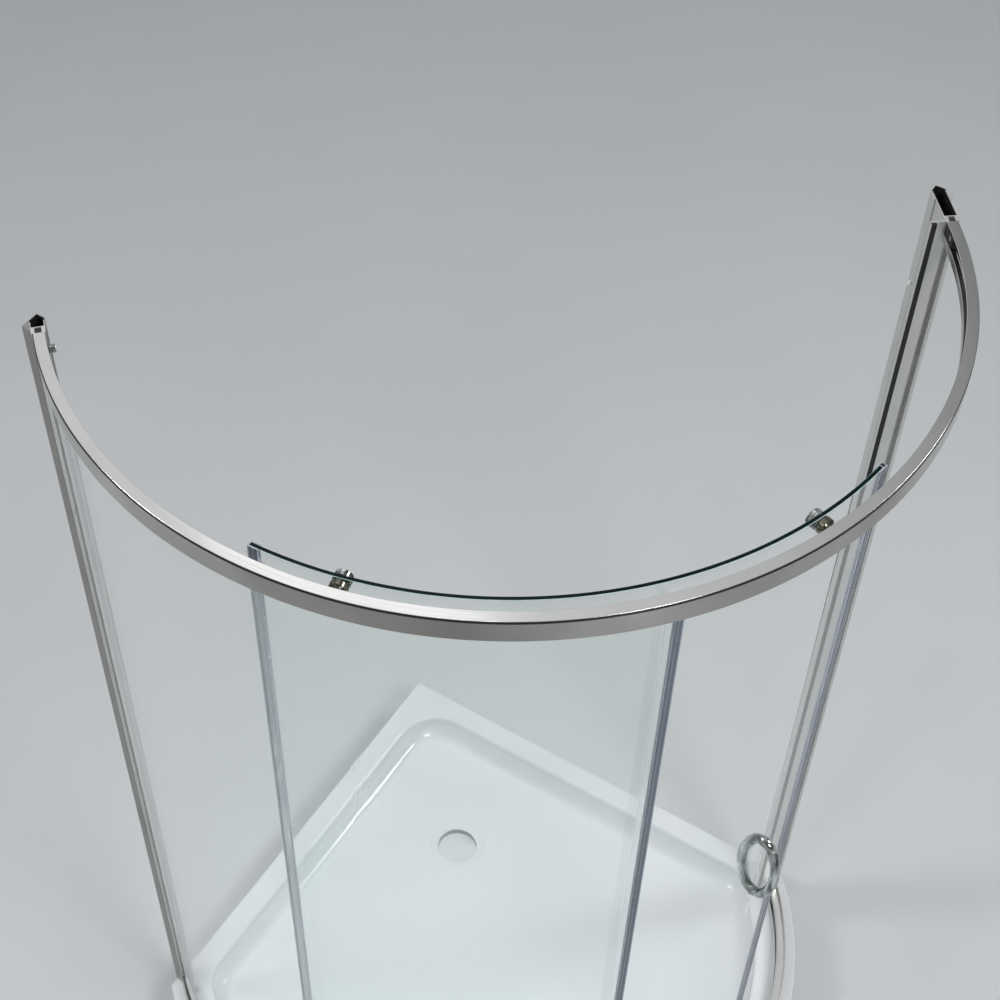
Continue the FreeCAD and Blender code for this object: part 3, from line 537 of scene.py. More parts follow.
@dataclass(frozen=True)
class ClearGlass:
    """Toughened glass: nearly clear, a little green, with faint water marks and roller wave."""

    name: str
    tint: Colour
    shade: Colour
    wave_scale: float = 2.2
    wave_detail: float = 1.0
    wave_depth: float = 0.00002
    run_scale: Triple = (30.0, 4.0, 1.6)
    water_mark: float = 0.012
    refraction: float = 1.5

    def material(self, plan: Plan) -> bpy.types.Material:
        """Make the finish.

        Args:
            plan: plan of the round front, for water marks that run down the pane.

        Returns:
            The material.
        """
        graph = Graph(bpy.data.materials.new(self.name))
        runs = graph.noise(graph.stretched(graph.round_place(plan), self.run_scale), 1.0)
        wave = graph.noise(graph.place(), self.wave_scale, self.wave_detail)
        clear = graph.principled({
            "Base Color": self.tint,
            "Transmission Weight": 1.0,
            "IOR": self.refraction,
            "Roughness": graph.between(runs, 0.0, self.water_mark),
            "Normal": graph.bump(wave, self.wave_depth),
        })
        through = graph.add("BsdfTransparent", {"Color": self.shade}).outputs[0]
        shadow = graph.add("LightPath", {}).outputs["Is Shadow Ray"]
        return graph.done(graph.add("MixShader", {0: shadow, 1: clear, 2: through}).outputs[0])


@dataclass(frozen=True)
class CutEdge:
    """Ground edge of a pane, where the glass shows its body colour."""

    name: str
    deep: Colour
    pale: Colour
    gloss: float
    haze: float
    sheen: float
    mark_scale: Triple = (40.0, 900.0, 12.0)
    mark_depth: float = 0.00001

    def material(self, plan: Plan) -> bpy.types.Material:
        """Make the finish.

        Args:
            plan: plan of the round front, for grinding marks along the edge.

        Returns:
            The material.
        """
        graph = Graph(bpy.data.materials.new(self.name))
        marks = graph.noise(graph.stretched(graph.round_place(plan), self.mark_scale), 1.0)
        return graph.done(graph.principled({
            "Base Color": graph.tones(marks, self.deep, self.pale),
            "Roughness": graph.between(marks, self.gloss, self.haze),
            "Specular IOR Level": self.sheen,
            "Normal": graph.bump(marks, self.mark_depth),
        }))


@dataclass(frozen=True)
class Plastic:
    """Moulded or extruded plastic and rubber."""

    name: str
    first: Colour
    second: Colour
    gloss: float
    haze: float
    grain_size: float
    grain_depth: float
    clear: float = 0.0
    coat: float = 0.0
    coat_haze: float = 0.04
    grain_detail: float = 4.0
    cloud_scale: float = 5.0

    def material(self, plan: Plan) -> bpy.types.Material:
        """Make the finish.

        Args:
            plan: plan of the round front; the grain of a plastic doesn't need it.

        Returns:
            The material.
        """
        graph = Graph(bpy.data.materials.new(self.name))
        grain = graph.noise(graph.place(), 1.0 / self.grain_size, self.grain_detail)
        cloud = graph.noise(graph.place(), self.cloud_scale)
        return graph.done(graph.principled({
            "Base Color": graph.tones(cloud, self.first, self.second),
            "Roughness": graph.between(grain, self.gloss, self.haze),
            "Normal": graph.bump(grain, self.grain_depth),
            "Transmission Weight": self.clear,
            "Coat Weight": self.coat,
            "Coat Roughness": self.coat_haze,
        }))


Finish = Union[Metal, ClearGlass, CutEdge, Plastic]


class Look(str, Enum):
    """Finishes beside those of the nodes' own slots."""

    GLASS_EDGE = "glass_edge"
    GLASS_ARRIS = "glass_arris"
    RAIL_SIDE_PAINTED_REFLECTION = "rail_side"
    RAIL_GROOVE_PAINTED_SHADE = "rail_groove"
    PAINTED_HOLLOW_SHADE = "profile_hollow"
    CHANNEL_PAINTED_SHADE = "channel_face"
    ROLLER_FACE = "roller_face"
    SEAL_GROOVE_PAINTED_SHADE = "seal_groove"
    SEAL_BLADE = "seal_blade"
    DRAIN_WALL_PAINTED_SHADE = "drain_wall"
    WHITE_CAP = "white_cap"


FINISHES: dict[str, Finish] = {
    "acrylic": Plastic("white_acrylic", srgb(228, 230, 233), srgb(223, 226, 230), gloss=0.10,
                       haze=0.16, grain_size=0.012, grain_depth=0.00001, coat=0.4),
    "foot_rubber": Plastic("foot_rubber", srgb(44, 44, 45), srgb(56, 56, 56), gloss=0.62,
                           haze=0.8, grain_size=0.002, grain_depth=0.00006),
    "zinc_steel": Metal("zinc_steel", srgb(196, 198, 200), srgb(170, 172, 168), gloss=0.3,
                        haze=0.48, grain=Grain.SMOOTH),
    "polished_rail": Metal("polished_rail", srgb(226, 226, 224), srgb(217, 217, 215), gloss=0.1,
                           haze=0.22, grain=Grain.ROUND),
    "polished_profile": Metal("satin_profile", srgb(210, 211, 209), srgb(198, 199, 196),
                              gloss=0.28, haze=0.42, grain=Grain.UPRIGHT, metallic=0.6),
    "magnet": Plastic("magnet_strip", srgb(14, 14, 15), srgb(20, 20, 20), gloss=0.5, haze=0.66,
                      grain_size=0.003, grain_depth=0.00002),
    Look.WHITE_CAP: Plastic("white_cap", srgb(236, 238, 238), srgb(228, 230, 230), gloss=0.25,
                            haze=0.35, grain_size=0.003, grain_depth=0.00001),
    "block_plastic": Plastic("block_plastic", srgb(30, 31, 32), srgb(40, 40, 41), gloss=0.4,
                             haze=0.55, grain_size=0.002, grain_depth=0.00003),
    # Chrome's tone is clouded from near white to near black: painted reflections of bright and dark
    # surroundings
    "chrome": Metal("chrome_plate", srgb(224, 229, 228), srgb(20, 26, 26), gloss=0.04, haze=0.1,
                    grain=Grain.SMOOTH, mark_depth=0.0, cloud_scale=(120.0, 120.0, 26.0)),
    "glass": ClearGlass("clear_glass", srgb(252, 255, 254), srgb(246, 250, 249)),
    "clear_seal": Plastic("clear_seal", srgb(226, 228, 239), srgb(212, 215, 229), gloss=0.14,
                          haze=0.28, grain_size=0.004, grain_depth=0.00001, clear=0.5),
    "gasket": Plastic("gasket_rubber", srgb(58, 61, 62), srgb(49, 52, 53), gloss=0.5, haze=0.68,
                      grain_size=0.002, grain_depth=0.00004),
    "washer_nylon": Plastic("washer_nylon", srgb(128, 132, 131), srgb(116, 120, 119), gloss=0.45,
                            haze=0.6, grain_size=0.002, grain_depth=0.00002),
    "wheel_nylon": Plastic("wheel_nylon", srgb(224, 224, 219), srgb(214, 214, 208), gloss=0.32,
                           haze=0.46, grain_size=0.002, grain_depth=0.00002),
    Look.GLASS_EDGE: CutEdge("glass_edge", srgb(3, 13, 13), srgb(9, 27, 26), gloss=0.2,
                             haze=0.36, sheen=0.12),
    Look.GLASS_ARRIS: CutEdge("glass_arris", srgb(160, 194, 190), srgb(194, 219, 216), gloss=0.3,
                              haze=0.5, sheen=0.4),
    # Darker copy of the polished rail for the rails' outer face, clouded from bright to dark:
    # painted reflection
    Look.RAIL_SIDE_PAINTED_REFLECTION: Metal("rail_side", srgb(208, 207, 203), srgb(104, 101, 94), gloss=0.12,
                          haze=0.24, grain=Grain.ROUND, cloud_scale=(2.4, 2.4, 2.4)),
    # Near black on the step under the rails' outer lip: painted shade
    Look.RAIL_GROOVE_PAINTED_SHADE: Metal("rail_groove", srgb(50, 51, 52), srgb(64, 64, 64), gloss=0.3,
                            haze=0.45, grain=Grain.ROUND),
    # Darker copy of the satin profile for the left wall channel: painted shade
    Look.CHANNEL_PAINTED_SHADE: Metal("channel_face", srgb(154, 153, 149), srgb(140, 139, 135), gloss=0.28,
                             haze=0.42, grain=Grain.UPRIGHT, metallic=0.6),
    # Near black on upright faces shut in by walls: painted shade of the profiles' hollows
    Look.PAINTED_HOLLOW_SHADE: Plastic("profile_hollow", srgb(9, 9, 10), srgb(13, 13, 13), gloss=0.7,
                                 haze=0.85, grain_size=0.002, grain_depth=0.00002),
    Look.ROLLER_FACE: Metal("roller_face", srgb(160, 157, 147), srgb(122, 119, 109), gloss=0.14,
                            haze=0.26, grain=Grain.SMOOTH),
    # Darker blue-grey on the sides in the ribs' grooves: painted shade
    Look.SEAL_GROOVE_PAINTED_SHADE: Plastic("seal_groove", srgb(126, 137, 150), srgb(110, 122, 137), gloss=0.14,
                              haze=0.28, grain_size=0.004, grain_depth=0.00001, clear=0.3),
    Look.SEAL_BLADE: Plastic("seal_blade", srgb(250, 251, 252), srgb(247, 249, 250), gloss=0.02,
                             haze=0.06, grain_size=0.004, grain_depth=0.00001, clear=0.97),
    # Darker grey-green on the drain hole's wall: painted shade in the hole
    Look.DRAIN_WALL_PAINTED_SHADE: Plastic("drain_wall", srgb(128, 141, 138), srgb(116, 130, 127), gloss=0.2,
                             haze=0.3, grain_size=0.004, grain_depth=0.00001),
}


@dataclass
class Bench:
    """The frame that everything is built on, and the finishes made so far."""

    frame: dict[str, Any]
    plan: Plan
    front: Front
    made: dict[str, bpy.types.Material] = field(default_factory=dict)

    def finish(self, slot: str) -> bpy.types.Material:
        """Material of a slot, made on first use."""
        if slot not in self.made:
            self.made[slot] = FINISHES[slot].material(self.plan)
        return self.made[slot]

    def slot(self, node: str) -> str:
        """Material slot that the record gives a node."""
        parts = self.frame["record"]["subparts"]
        return next(part["material_slot"] for part in parts if part["node"] == node)

    def body(self, node: str) -> str:
        """Body that a node belongs to."""
        bodies = self.frame["record"]["behaviour"]["bodies"]
        return next(body for body, nodes in bodies.items() if node in nodes)

    def wheels(self) -> list[str]:
        """Names of the wheels, which are bodies of one node each."""
        bodies = self.frame["record"]["behaviour"]["bodies"]
        return [nodes[0] for nodes in bodies.values() if len(nodes) == 1]

    def roller_places(self) -> list[Pair]:
        """Bearing and height of each wheel's axle."""
        joints = [joint for joint in self.frame["joints"] if joint["child"] in self.wheels()]
        return [(self.plan.bearing(joint["pos_m"]), joint["pos_m"][2]) for joint in joints]

    def stud_places(self) -> list[Pair]:
        """Bearing and height of the handle's lower and upper stud."""
        low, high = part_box("handle_studs")
        bearing = self.plan.bearing((low + high) / 2.0)
        return [(bearing, low.z + STUD_RADIUS), (bearing, high.z - STUD_RADIUS)]

    def put(self, piece: bpy.types.Object, node: str) -> bpy.types.Object:
        """Set a piece in the place of its solid.

        Args:
            piece: the dressed piece, where it belongs.
            node: the solid's node.

        Returns:
            The piece.
        """
        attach(piece, self.body(node))
        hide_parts(node)
        self.slot(node)
        piece.modifiers.new("even_shading", "WEIGHTED_NORMAL").keep_sharp = True
        LOG.info("%s: %d faces on %s", piece.name, len(piece.data.polygons), self.body(node))
        return piece

    def close(self, shape: Shape, node: str, *extra: str, look: str = "") -> bpy.types.Object:
        """Close a shape, dress it as its node says and put it in place.

        Args:
            shape: the finished shape.
            node: node that it stands for.
            extra: further finishes, from number 1 up.
            look: finish number 0, if it isn't the one of the node's slot.

        Returns:
            The piece.
        """
        finishes = [self.finish(slot) for slot in (look or self.slot(node), *extra)]
        return self.put(shape.done(node + "_look", finishes), node)

    def sweep(self, node: str, outline: Sequence[Pair], span: Pair, sides: Sequence[int] = (),
              extra: Sequence[str] = ()) -> None:
        """Run an outline round the front.

        Args:
            node: node that the piece stands for.
            outline: corners as radius and height.
            span: bearings of the two ends.
            sides: finish number of each side of the outline, all 0 if left out.
            extra: further finishes, from number 1 up.
        """
        start, end = span
        steps = math.ceil((end - start) / SWEEP_STEP)
        bearings = [start + (end - start) * step / steps for step in range(steps + 1)]
        shape = Shape()
        shape.loft([[self.plan.point(radius, bearing, height) for radius, height in outline]
                    for bearing in bearings], sides=sides)
        self.close(shape, node, *extra)

    def join(self, piece: bpy.types.Object, tool: Shape, how: Join) -> None:
        """Add a shape to a piece, or cut it away.

        Args:
            piece: the piece to change.
            tool: the shape, which is used up.
            how: whether it is added or cut away.
        """
        cutter = tool.done(piece.name + "_tool", piece.data.materials[:])
        modifier = piece.modifiers.new("join", "BOOLEAN")
        modifier.operation = how.value
        modifier.solver = "EXACT"
        modifier.object = cutter
        graph = bpy.context.evaluated_depsgraph_get()
        data = bpy.data.meshes.new_from_object(piece.evaluated_get(graph))
        data.set_sharp_from_angle(angle=CREASE)
        piece.modifiers.remove(modifier)
        piece.data = data
        bpy.data.objects.remove(cutter)

    def soften(self, node: str, edge: float, segments: int = 2, inside: Sequence[str] = (),
               gap: float = 0.0, look: str = "") -> None:
        """Make a piece from a solid's own faces, with its sharp edges rounded.

        Args:
            node: the solid's node.
            edge: width of the rounding.
            segments: flats across the rounding.
            inside: nodes that close in a hollow, whose upright faces get painted shade, near black.
            gap: width up to which a space before a face isn't a hollow.
            look: finish of the piece, if it isn't the one of the node's slot.
        """
        shape = Shape()
        mesh = shape.mesh
        mesh.from_mesh(self.frame["nodes"][node].data)
        bmesh.ops.remove_doubles(mesh, verts=mesh.verts[:], dist=SAME_PLACE)
        bmesh.ops.dissolve_limit(mesh, angle_limit=FLAT, verts=mesh.verts[:], edges=mesh.edges[:])
        sharp = [line for line in mesh.edges if line.is_manifold and line.calc_face_angle() > SHARP]
        bmesh.ops.bevel(mesh, geom=sharp, offset=edge, segments=segments, profile=EVEN_BEVEL,
                        affect="EDGES", clamp_overlap=True)
        bmesh.ops.recalc_face_normals(mesh, faces=mesh.faces[:])
        walls = [self.wall_tree(name) for name in inside]
        for face in mesh.faces:
            face.material_index = int(self.shut_in(face, walls, gap))
        # Faces in hollows take finish 1, near black: painted shade
        self.close(shape, node, *([Look.PAINTED_HOLLOW_SHADE] if inside else []), look=look)

    @staticmethod
    def shut_in(face: bmesh.types.BMFace, walls: Sequence[BVHTree], gap: float) -> bool:
        """Whether an upright face belongs to a hollow, and so gets painted shade.

        Args:
            face: the face.
            walls: faces that can close the hollow in.
            gap: width up to which a space before the face isn't a hollow.

        Returns:
            True if walls stand before the face and to both sides of it.
        """
        if abs(face.normal.z) > UPRIGHT:
            return False
        start = face.calc_center_median() + face.normal * CLOSE
        along = face.normal.cross(Vector((0.0, 0.0, 1.0))).normalized()
        spans = []
        for way in (face.normal, along, -along):
            hits = [wall.ray_cast(start, way, HOLLOW_SPAN)[3] for wall in walls]
            spans.append(min((hit for hit in hits if hit is not None), default=0.0))
        return spans[0] > gap and min(spans) > 0.0

    def wall_tree(self, node: str) -> BVHTree:
        """Faces of a solid, to be looked at along a line."""
        data = self.frame["nodes"][node].data
        return BVHTree.FromPolygons([vertex.co for vertex in data.vertices],
                                    [face.vertices[:] for face in data.polygons])


@dataclass(frozen=True)
class Outline:
    """Level outline between the two walls and the round front, with rounded corners."""

    plan: Plan
    left_wall: float
    right_wall: float
    radius: float
    back_corner: float = 0.0
    side_corner: float = 0.0

    def rounds(self) -> list[Round]:
        """Corner rounds.

        Returns:
            Centre, radius and the two points where the round meets the sides, for each corner.
        """
        back = self.back_corner
        centre = Vector((self.left_wall + back, self.right_wall - back))
        found = [(centre, back, Vector((self.left_wall, centre.y)),
                  Vector((centre.x, self.right_wall)))]
        side = self.side_corner
        axis = Vector((self.plan.x, self.plan.y))
        west = self.left_wall + side
        north = self.right_wall - side
        down = math.sqrt((self.radius - side) ** 2 - (west - axis.x) ** 2)
        across = math.sqrt((self.radius - side) ** 2 - (north - axis.y) ** 2)
        low = Vector((west, axis.y - down))
        high = Vector((axis.x + across, north))
        for centre, on_wall in ((low, Vector((self.left_wall, low.y))),
                                (high, Vector((high.x, self.right_wall)))):
            on_front = axis + (centre - axis).normalized() * self.radius
            found.append((centre, side, on_wall, on_front))
        return found

    def reach(self, start: Vector, heading: float, rounds: Sequence[Round]) -> float:
        """Distance to the outline.

        Args:
            start: point inside it.
            heading: direction in radians.
            rounds: the corner rounds.

        Returns:
            Distance along the heading.
        """
        way = Vector((math.cos(heading), math.sin(heading)))
        for centre, radius, first, second in rounds:
            middle = heading_to(start, centre)
            ends = [math.remainder(heading_to(start, end) - middle, math.tau)
                    for end in (first, second)]
            if min(ends) < math.remainder(heading - middle, math.tau) < max(ends):
                return leave_circle(start, way, centre, radius)
        found = [leave_circle(start, way, Vector((self.plan.x, self.plan.y)), self.radius)]
        if way.x < 0.0:
            found.append((self.left_wall - start.x) / way.x)
        if way.y > 0.0:
            found.append((self.right_wall - start.y) / way.y)
        return min(found)

    def corner_headings(self, start: Vector) -> list[float]:
        """Headings of the corner rounds' middles."""
        return [heading_to(start, (first + second) / 2.0) for _, _, first, second in self.rounds()]

    def loop(self, start: Vector, headings: Sequence[float], height: float) -> Loop:
        """The outline as a loop of points.

        Args:
            start: point inside it that the headings leave from.
            headings: directions in radians.
            height: level of the loop.

        Returns:
            One point for each heading.
        """
        rounds = self.rounds()
        points = []
        for heading in headings:
            reach = self.reach(start, heading, rounds)
            points.append(Vector((start.x + reach * math.cos(heading),
                                  start.y + reach * math.sin(heading), height)))
        return points


def heading_to(start: Vector, end: Vector) -> float:
    """Direction from one plan point to another, in radians."""
    return math.atan2(end.y - start.y, end.x - start.x)


def leave_circle(start: Vector, way: Vector, centre: Vector, radius: float) -> float:
    """Distance from a start along a way to the far side of a circle."""
    offset = start - centre
    along = offset.dot(way)
    return -along + math.sqrt(max(along ** 2 - offset.length_squared + radius ** 2, 0.0))


@dataclass
class Tray:
    """Moulded shower tray on adjustable feet."""

    bench: Bench
    radius: float = 0.6658
    shell: float = 0.008
    back_rim: float = 0.049
    front_rim: float = 0.084
    depth: float = 0.050
    back_corner: float = 0.090
    side_corner: float = 0.070
    floor_round: float = 0.035
    mouth_round: float = 0.007
    edge_round: float = 0.005
    wall_edge_round: float = 0.0015
    drain_from_wall: float = 0.300
    drain_radius: float = 0.043
    dish_radius: float = 0.059
    dish_depth: float = 0.003
    boss_wall: float = 0.014
    boss_drop: float = 0.012
    small_round: float = 0.0012
    dish_step: float = 0.0009
    dish_slope: float = 0.5
    lip_shares: tuple[Pair, ...] = ((2.0, 0.0), (0.3, 0.4), (0.0, 1.3))
    rays: int = 480
    edge_steps: int = 5
    floor_steps: int = 9
    under_steps: int = 7
    floor_rings: int = 7
    under_rings: int = 3
    wall_ring: int = 4
    pad_edge: float = 0.0012
    pad_steps: int = 3
    stud_edge: float = 0.0008
    left_wall: float = field(init=False)
    right_wall: float = field(init=False)
    rim: float = field(init=False)
    drain: Vector = field(init=False)
    headings: list[float] = field(init=False)

    def __post_init__(self) -> None:
        """Take the tray's place from its solid."""
        low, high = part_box("tray")
        self.left_wall = low.x
        self.right_wall = high.y
        self.rim = high.z
        self.drain = Vector((low.x + self.drain_from_wall, high.y - self.drain_from_wall))
        self.headings = self.ray_headings()

    def build(self) -> None:
        """Build and dress the tray and its feet."""
        top = self.top_loops()
        wall = len(top) + self.floor_rings + self.wall_ring
        shape = Shape()
        # The strips of the drain hole's wall take finish 1, painted shade
        shape.loft(top + self.drain_loops() + self.under_loops(), ring=True,
                   strips={wall - 1: 1, wall: 1, wall + 1: 1})
        self.bench.close(shape, "tray", Look.DRAIN_WALL_PAINTED_SHADE)
        self.bench.soften("tray_foot_pads", self.pad_edge, self.pad_steps)
        self.bench.soften("tray_foot_studs", self.stud_edge)
        self.bench.soften("tray_foot_nuts", self.stud_edge)

    def basin(self, grow: float) -> Outline:
        """Outline of the basin, grown or shrunk by an even width."""
        return Outline(self.bench.plan, self.left_wall + self.back_rim - grow,
                       self.right_wall - self.back_rim + grow, self.radius - self.front_rim + grow,
                       self.back_corner + grow, self.side_corner + grow)

    def skirt(self, wall_inset: float, front_inset: float) -> Outline:
        """Outline of the skirt, set in from the walls and from the round front."""
        return Outline(self.bench.plan, self.left_wall + wall_inset, self.right_wall - wall_inset,
                       self.radius - front_inset)

    def ray_headings(self) -> list[float]:
        """Directions from the drain that all the loops use, the skirt's corners among them."""
        even = [math.remainder(math.tau * index / self.rays, math.tau)
                for index in range(self.rays)]
        corners = []
        for inset in (0.0, self.shell):
            corners += self.skirt(inset, inset).corner_headings(self.drain)
        return sorted(even + corners)

    def level(self, outline: Outline, height: float) -> Loop:
        """An outline's loop at a height."""
        return outline.loop(self.drain, self.headings, height)

    def circle(self, radius: float, height: float) -> Loop:
        """Loop round the drain."""
        return [Vector((self.drain.x + radius * math.cos(a), self.drain.y + radius * math.sin(a),
                        height)) for a in self.headings]

    @staticmethod
    def between(first: Loop, last: Loop, count: int) -> list[Loop]:
        """Loops spread evenly between two others, without them."""
        shares = [step / (count + 1.0) for step in range(1, count + 1)]
        return [[a.lerp(b, share) for a, b in zip(first, last)] for share in shares]

    def top_loops(self) -> list[Loop]:
        """Loops from the skirt's foot over the rim and down to the basin's floor."""
        edge = self.edge_round
        loops = [self.level(self.skirt(0.0, 0.0), 0.0)]
        for a in quarter(self.edge_steps):
            inset = 1.0 - math.cos(a)
            loops.append(self.level(self.skirt(self.wall_edge_round * inset, edge * inset),
                                    self.rim - edge + edge * math.sin(a)))
        for a in reversed(quarter(self.edge_steps)):
            grow = self.mouth_round * (1.0 - math.cos(a))
            drop = self.mouth_round * (1.0 - math.sin(a))
            loops.append(self.level(self.basin(grow), self.rim - drop))
        for a in quarter(self.floor_steps):
            shrink = self.floor_round * (1.0 - math.cos(a))
            drop = self.depth - self.floor_round * (1.0 - math.sin(a))
            loops.append(self.level(self.basin(-shrink), self.rim - drop))
        return loops

    def drain_loops(self) -> list[Loop]:
        """Loops over the floor into the dished drain, down its hole and up its boss."""
        floor = self.rim - self.depth
        dish_floor = floor - self.dish_depth
        under = floor - self.shell
        foot = under - self.boss_drop
        round_off = self.small_round
        outer = self.drain_radius + self.boss_wall
        first = self.level(self.basin(-self.floor_round), floor)
        lip = [(self.drain_radius + out * round_off, dish_floor - down * round_off)
               for out, down in self.lip_shares]
        rings = [
            (self.dish_radius + self.dish_slope * self.dish_step, floor),
            (self.dish_radius, floor - self.dish_step),
            *lip,
            (self.drain_radius, foot + round_off),
            (self.drain_radius + round_off, foot),
            (outer - round_off, foot),
            (outer, foot + round_off),
            (outer, under - round_off),
            (outer + round_off, under),
        ]
        circles = [self.circle(radius, height) for radius, height in rings]
        return self.between(first, circles[0], self.floor_rings) + circles

    def under_loops(self) -> list[Loop]:
        """Loops over the underside, up to the rim's underside and down inside the skirt."""
        under = self.rim - self.depth - self.shell
        outer_round = self.floor_round + self.shell
        start = self.circle(self.drain_radius + self.boss_wall + self.small_round, under)
        shell = []
        for a in reversed(quarter(self.under_steps)):
            shrink = outer_round * (1.0 - math.cos(a)) - self.shell
            rise = outer_round * (1.0 - math.sin(a))
            shell.append(self.level(self.basin(-shrink), under + rise))
        ceiling = self.rim - self.shell
        shell.append(self.level(self.basin(self.shell), ceiling))
        inside = self.skirt(self.shell, self.shell)
        skirt = [self.level(inside, ceiling), self.level(inside, 0.0)]
        return self.between(start, shell[0], self.under_rings) + shell + skirt


@dataclass
class WallProfiles:
    """Wall channels, jambs, the strike and their screws."""

    bench: Bench
    profile_edge: float = 0.0004
    magnet_edge: float = 0.0004
    head_edge: float = 0.0008
    head_steps: int = 3
    cap_edge: float = 0.0006
    cap_steps: int = 4
    gasket_edge: float = 0.0002
    slide_gap: float = 0.001

    def build(self) -> None:
        """Build and dress the profiles and what holds them."""
        # The left channel takes a darker copy of the profile finish, painted shade; upright faces
        # in the hollows between channel and jamb get painted shade, near black
        for channel, jamb, look in (("wall_channel_left", "jamb_left", Look.CHANNEL_PAINTED_SHADE),
                                    ("wall_channel_right", "strike_jamb_right", "")):
            self.bench.soften(channel, self.profile_edge, inside=(channel, jamb), look=look)
            self.bench.soften(jamb, self.profile_edge, inside=(channel, jamb), gap=self.slide_gap)
        self.bench.soften("strike_magnet", self.magnet_edge)
        self.bench.soften("jamb_screws", self.head_edge, self.head_steps, look=Look.WHITE_CAP)
        self.bench.soften("screw_caps", self.cap_edge, self.cap_steps)
        self.bench.soften("jamb_gasket", self.gasket_edge)


@dataclass
class Rails:
    """Curved top and bottom rails, their end blocks, screws and glazing gaskets."""

    bench: Bench
    wall: float = 0.002
    edge_step: float = 0.0012
    edge_drop: float = 0.003
    height: float = 0.035
    track_height: float = 0.0205
    rib_height: float = 0.0018
    rib_width: float = 0.003
    corner: float = 0.0005
    glazing_bite: float = 0.0085
    gasket_corner: float = 0.0003
    block_edge: float = 0.0004
    knob_edge: float = 0.0009
    knob_steps: int = 4

    def build(self) -> None:
        """Build and dress the rails and what sits in them."""
        front = self.bench.front
        section = self.section()
        # Side 0 of the section is the outer face, with the darker rail finish of painted
        # reflection, and sides 1 and 2 are the step under its lip, with painted shade
        sides = side_finishes(len(section), {0: 1, 1: 2, 2: 2})
        rail = fillet(section, self.corner)
        gasket = fillet(self.gasket_section(), self.gasket_corner)
        ends = (front.rail_start, front.rail_end)
        glazed = (front.rail_start, front.fixed_glass_end)
        for place, level, way in (("top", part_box("top_rail")[1].z, -1.0),
                                  ("bottom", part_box("bottom_rail")[0].z, 1.0)):
            outlines = [[(radius, level + way * drop) for radius, drop in corners]
                        for corners in (rail, gasket)]
            self.bench.sweep(place + "_rail", outlines[0], ends, sides,
                             (Look.RAIL_SIDE_PAINTED_REFLECTION, Look.RAIL_GROOVE_PAINTED_SHADE))
            self.bench.sweep(place + "_gasket", outlines[1], glazed)
        self.bench.soften("rail_end_blocks", self.block_edge)
        self.bench.soften("rail_knob_screws", self.knob_edge, self.knob_steps)
        self.bench.soften("rail_flush_screws", self.block_edge)

    def section(self) -> list[Pair]:
        """Rail section as radius and drop below the rail's top: wheel track, glazing slot.

        Returns:
            Corners of the section.
        """
        front = self.bench.front
        outer = front.rail_outer
        inner = front.rail_inner
        skin = outer - self.wall
        web = inner + self.wall
        track = self.wall + self.track_height
        rib_top = track - self.rib_height
        rib_near = front.rail_middle - self.rib_width / 2.0
        rib_far = front.rail_middle + self.rib_width / 2.0
        lip = outer - self.edge_step
        return [
            (outer, self.height), (outer, self.edge_drop), (lip, self.edge_drop), (lip, 0.0),
            (inner, 0.0), (inner, self.wall), (skin, self.wall), (skin, track),
            (rib_far, track), (rib_far, rib_top), (rib_near, rib_top), (rib_near, track),
            (inner, track), (inner, self.height), (web, self.height), (web, track + self.wall),
            (skin, track + self.wall), (skin, self.height),
        ]

    def gasket_section(self) -> list[Pair]:
        """Gasket over the fixed glass's edge, as radius and drop below the rail's top.

        Returns:
            Corners of the section.
        """
        front = self.bench.front
        skin = front.rail_outer - self.wall
        web = front.rail_inner + self.wall
        near = front.rail_middle - front.glass / 2.0
        far = front.rail_middle + front.glass / 2.0
        roof = 2.0 * self.wall + self.track_height
        edge = self.height - self.glazing_bite
        return [(web, self.height), (near, self.height), (near, edge), (far, edge),
                (far, self.height), (skin, self.height), (skin, roof), (web, roof)]


@dataclass
class Pane:
    """Curved pane with ground edges and pale arrises."""

    bench: Bench
    node: str
    middle: float
    start: float
    end: float
    arris: float = 0.0005
    steps: int = 110

    def shape(self) -> Shape:
        """Skin the pane.

        Returns:
            The shape: finish 0 on the faces, 1 on the edges, 2 on the arrises.
        """
        trim = Plan.spread(self.arris, self.middle)
        whole = self.section(0.0)
        small = self.section(self.arris)
        first = self.start + trim
        last = self.end - trim
        stations = [(self.start, small)]
        for step in range(self.steps + 1):
            stations.append((first + (last - first) * step / self.steps, whole))
        stations.append((self.end, small))
        loops = [[self.bench.plan.point(radius, bearing, height) for radius, height in outline]
                 for bearing, outline in stations]
        shape = Shape()
        shape.loft(loops, sides=(0, 2, 1, 2, 0, 2, 1, 2), ends=1,
                   strips={0: 2, self.steps + 1: 2})
        return shape

    def section(self, inset: float) -> list[Pair]:
        """Section of the pane as radius and height.

        Args:
            inset: width by which its faces and its edges stand back, up to the arris.

        Returns:
            The section's eight corners, from the inner face's foot up.
        """
        foot, head = (corner.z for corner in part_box(self.node))
        half = self.bench.front.glass / 2.0
        near = self.middle - (half - inset)
        far = self.middle + (half - inset)
        edge_near = self.middle - (half - self.arris)
        edge_far = self.middle + (half - self.arris)
        low = foot + self.arris
        high = head - self.arris
        return [(near, low), (near, high), (edge_near, head - inset), (edge_far, head - inset),
                (far, high), (far, low), (edge_far, foot + inset), (edge_near, foot + inset)]


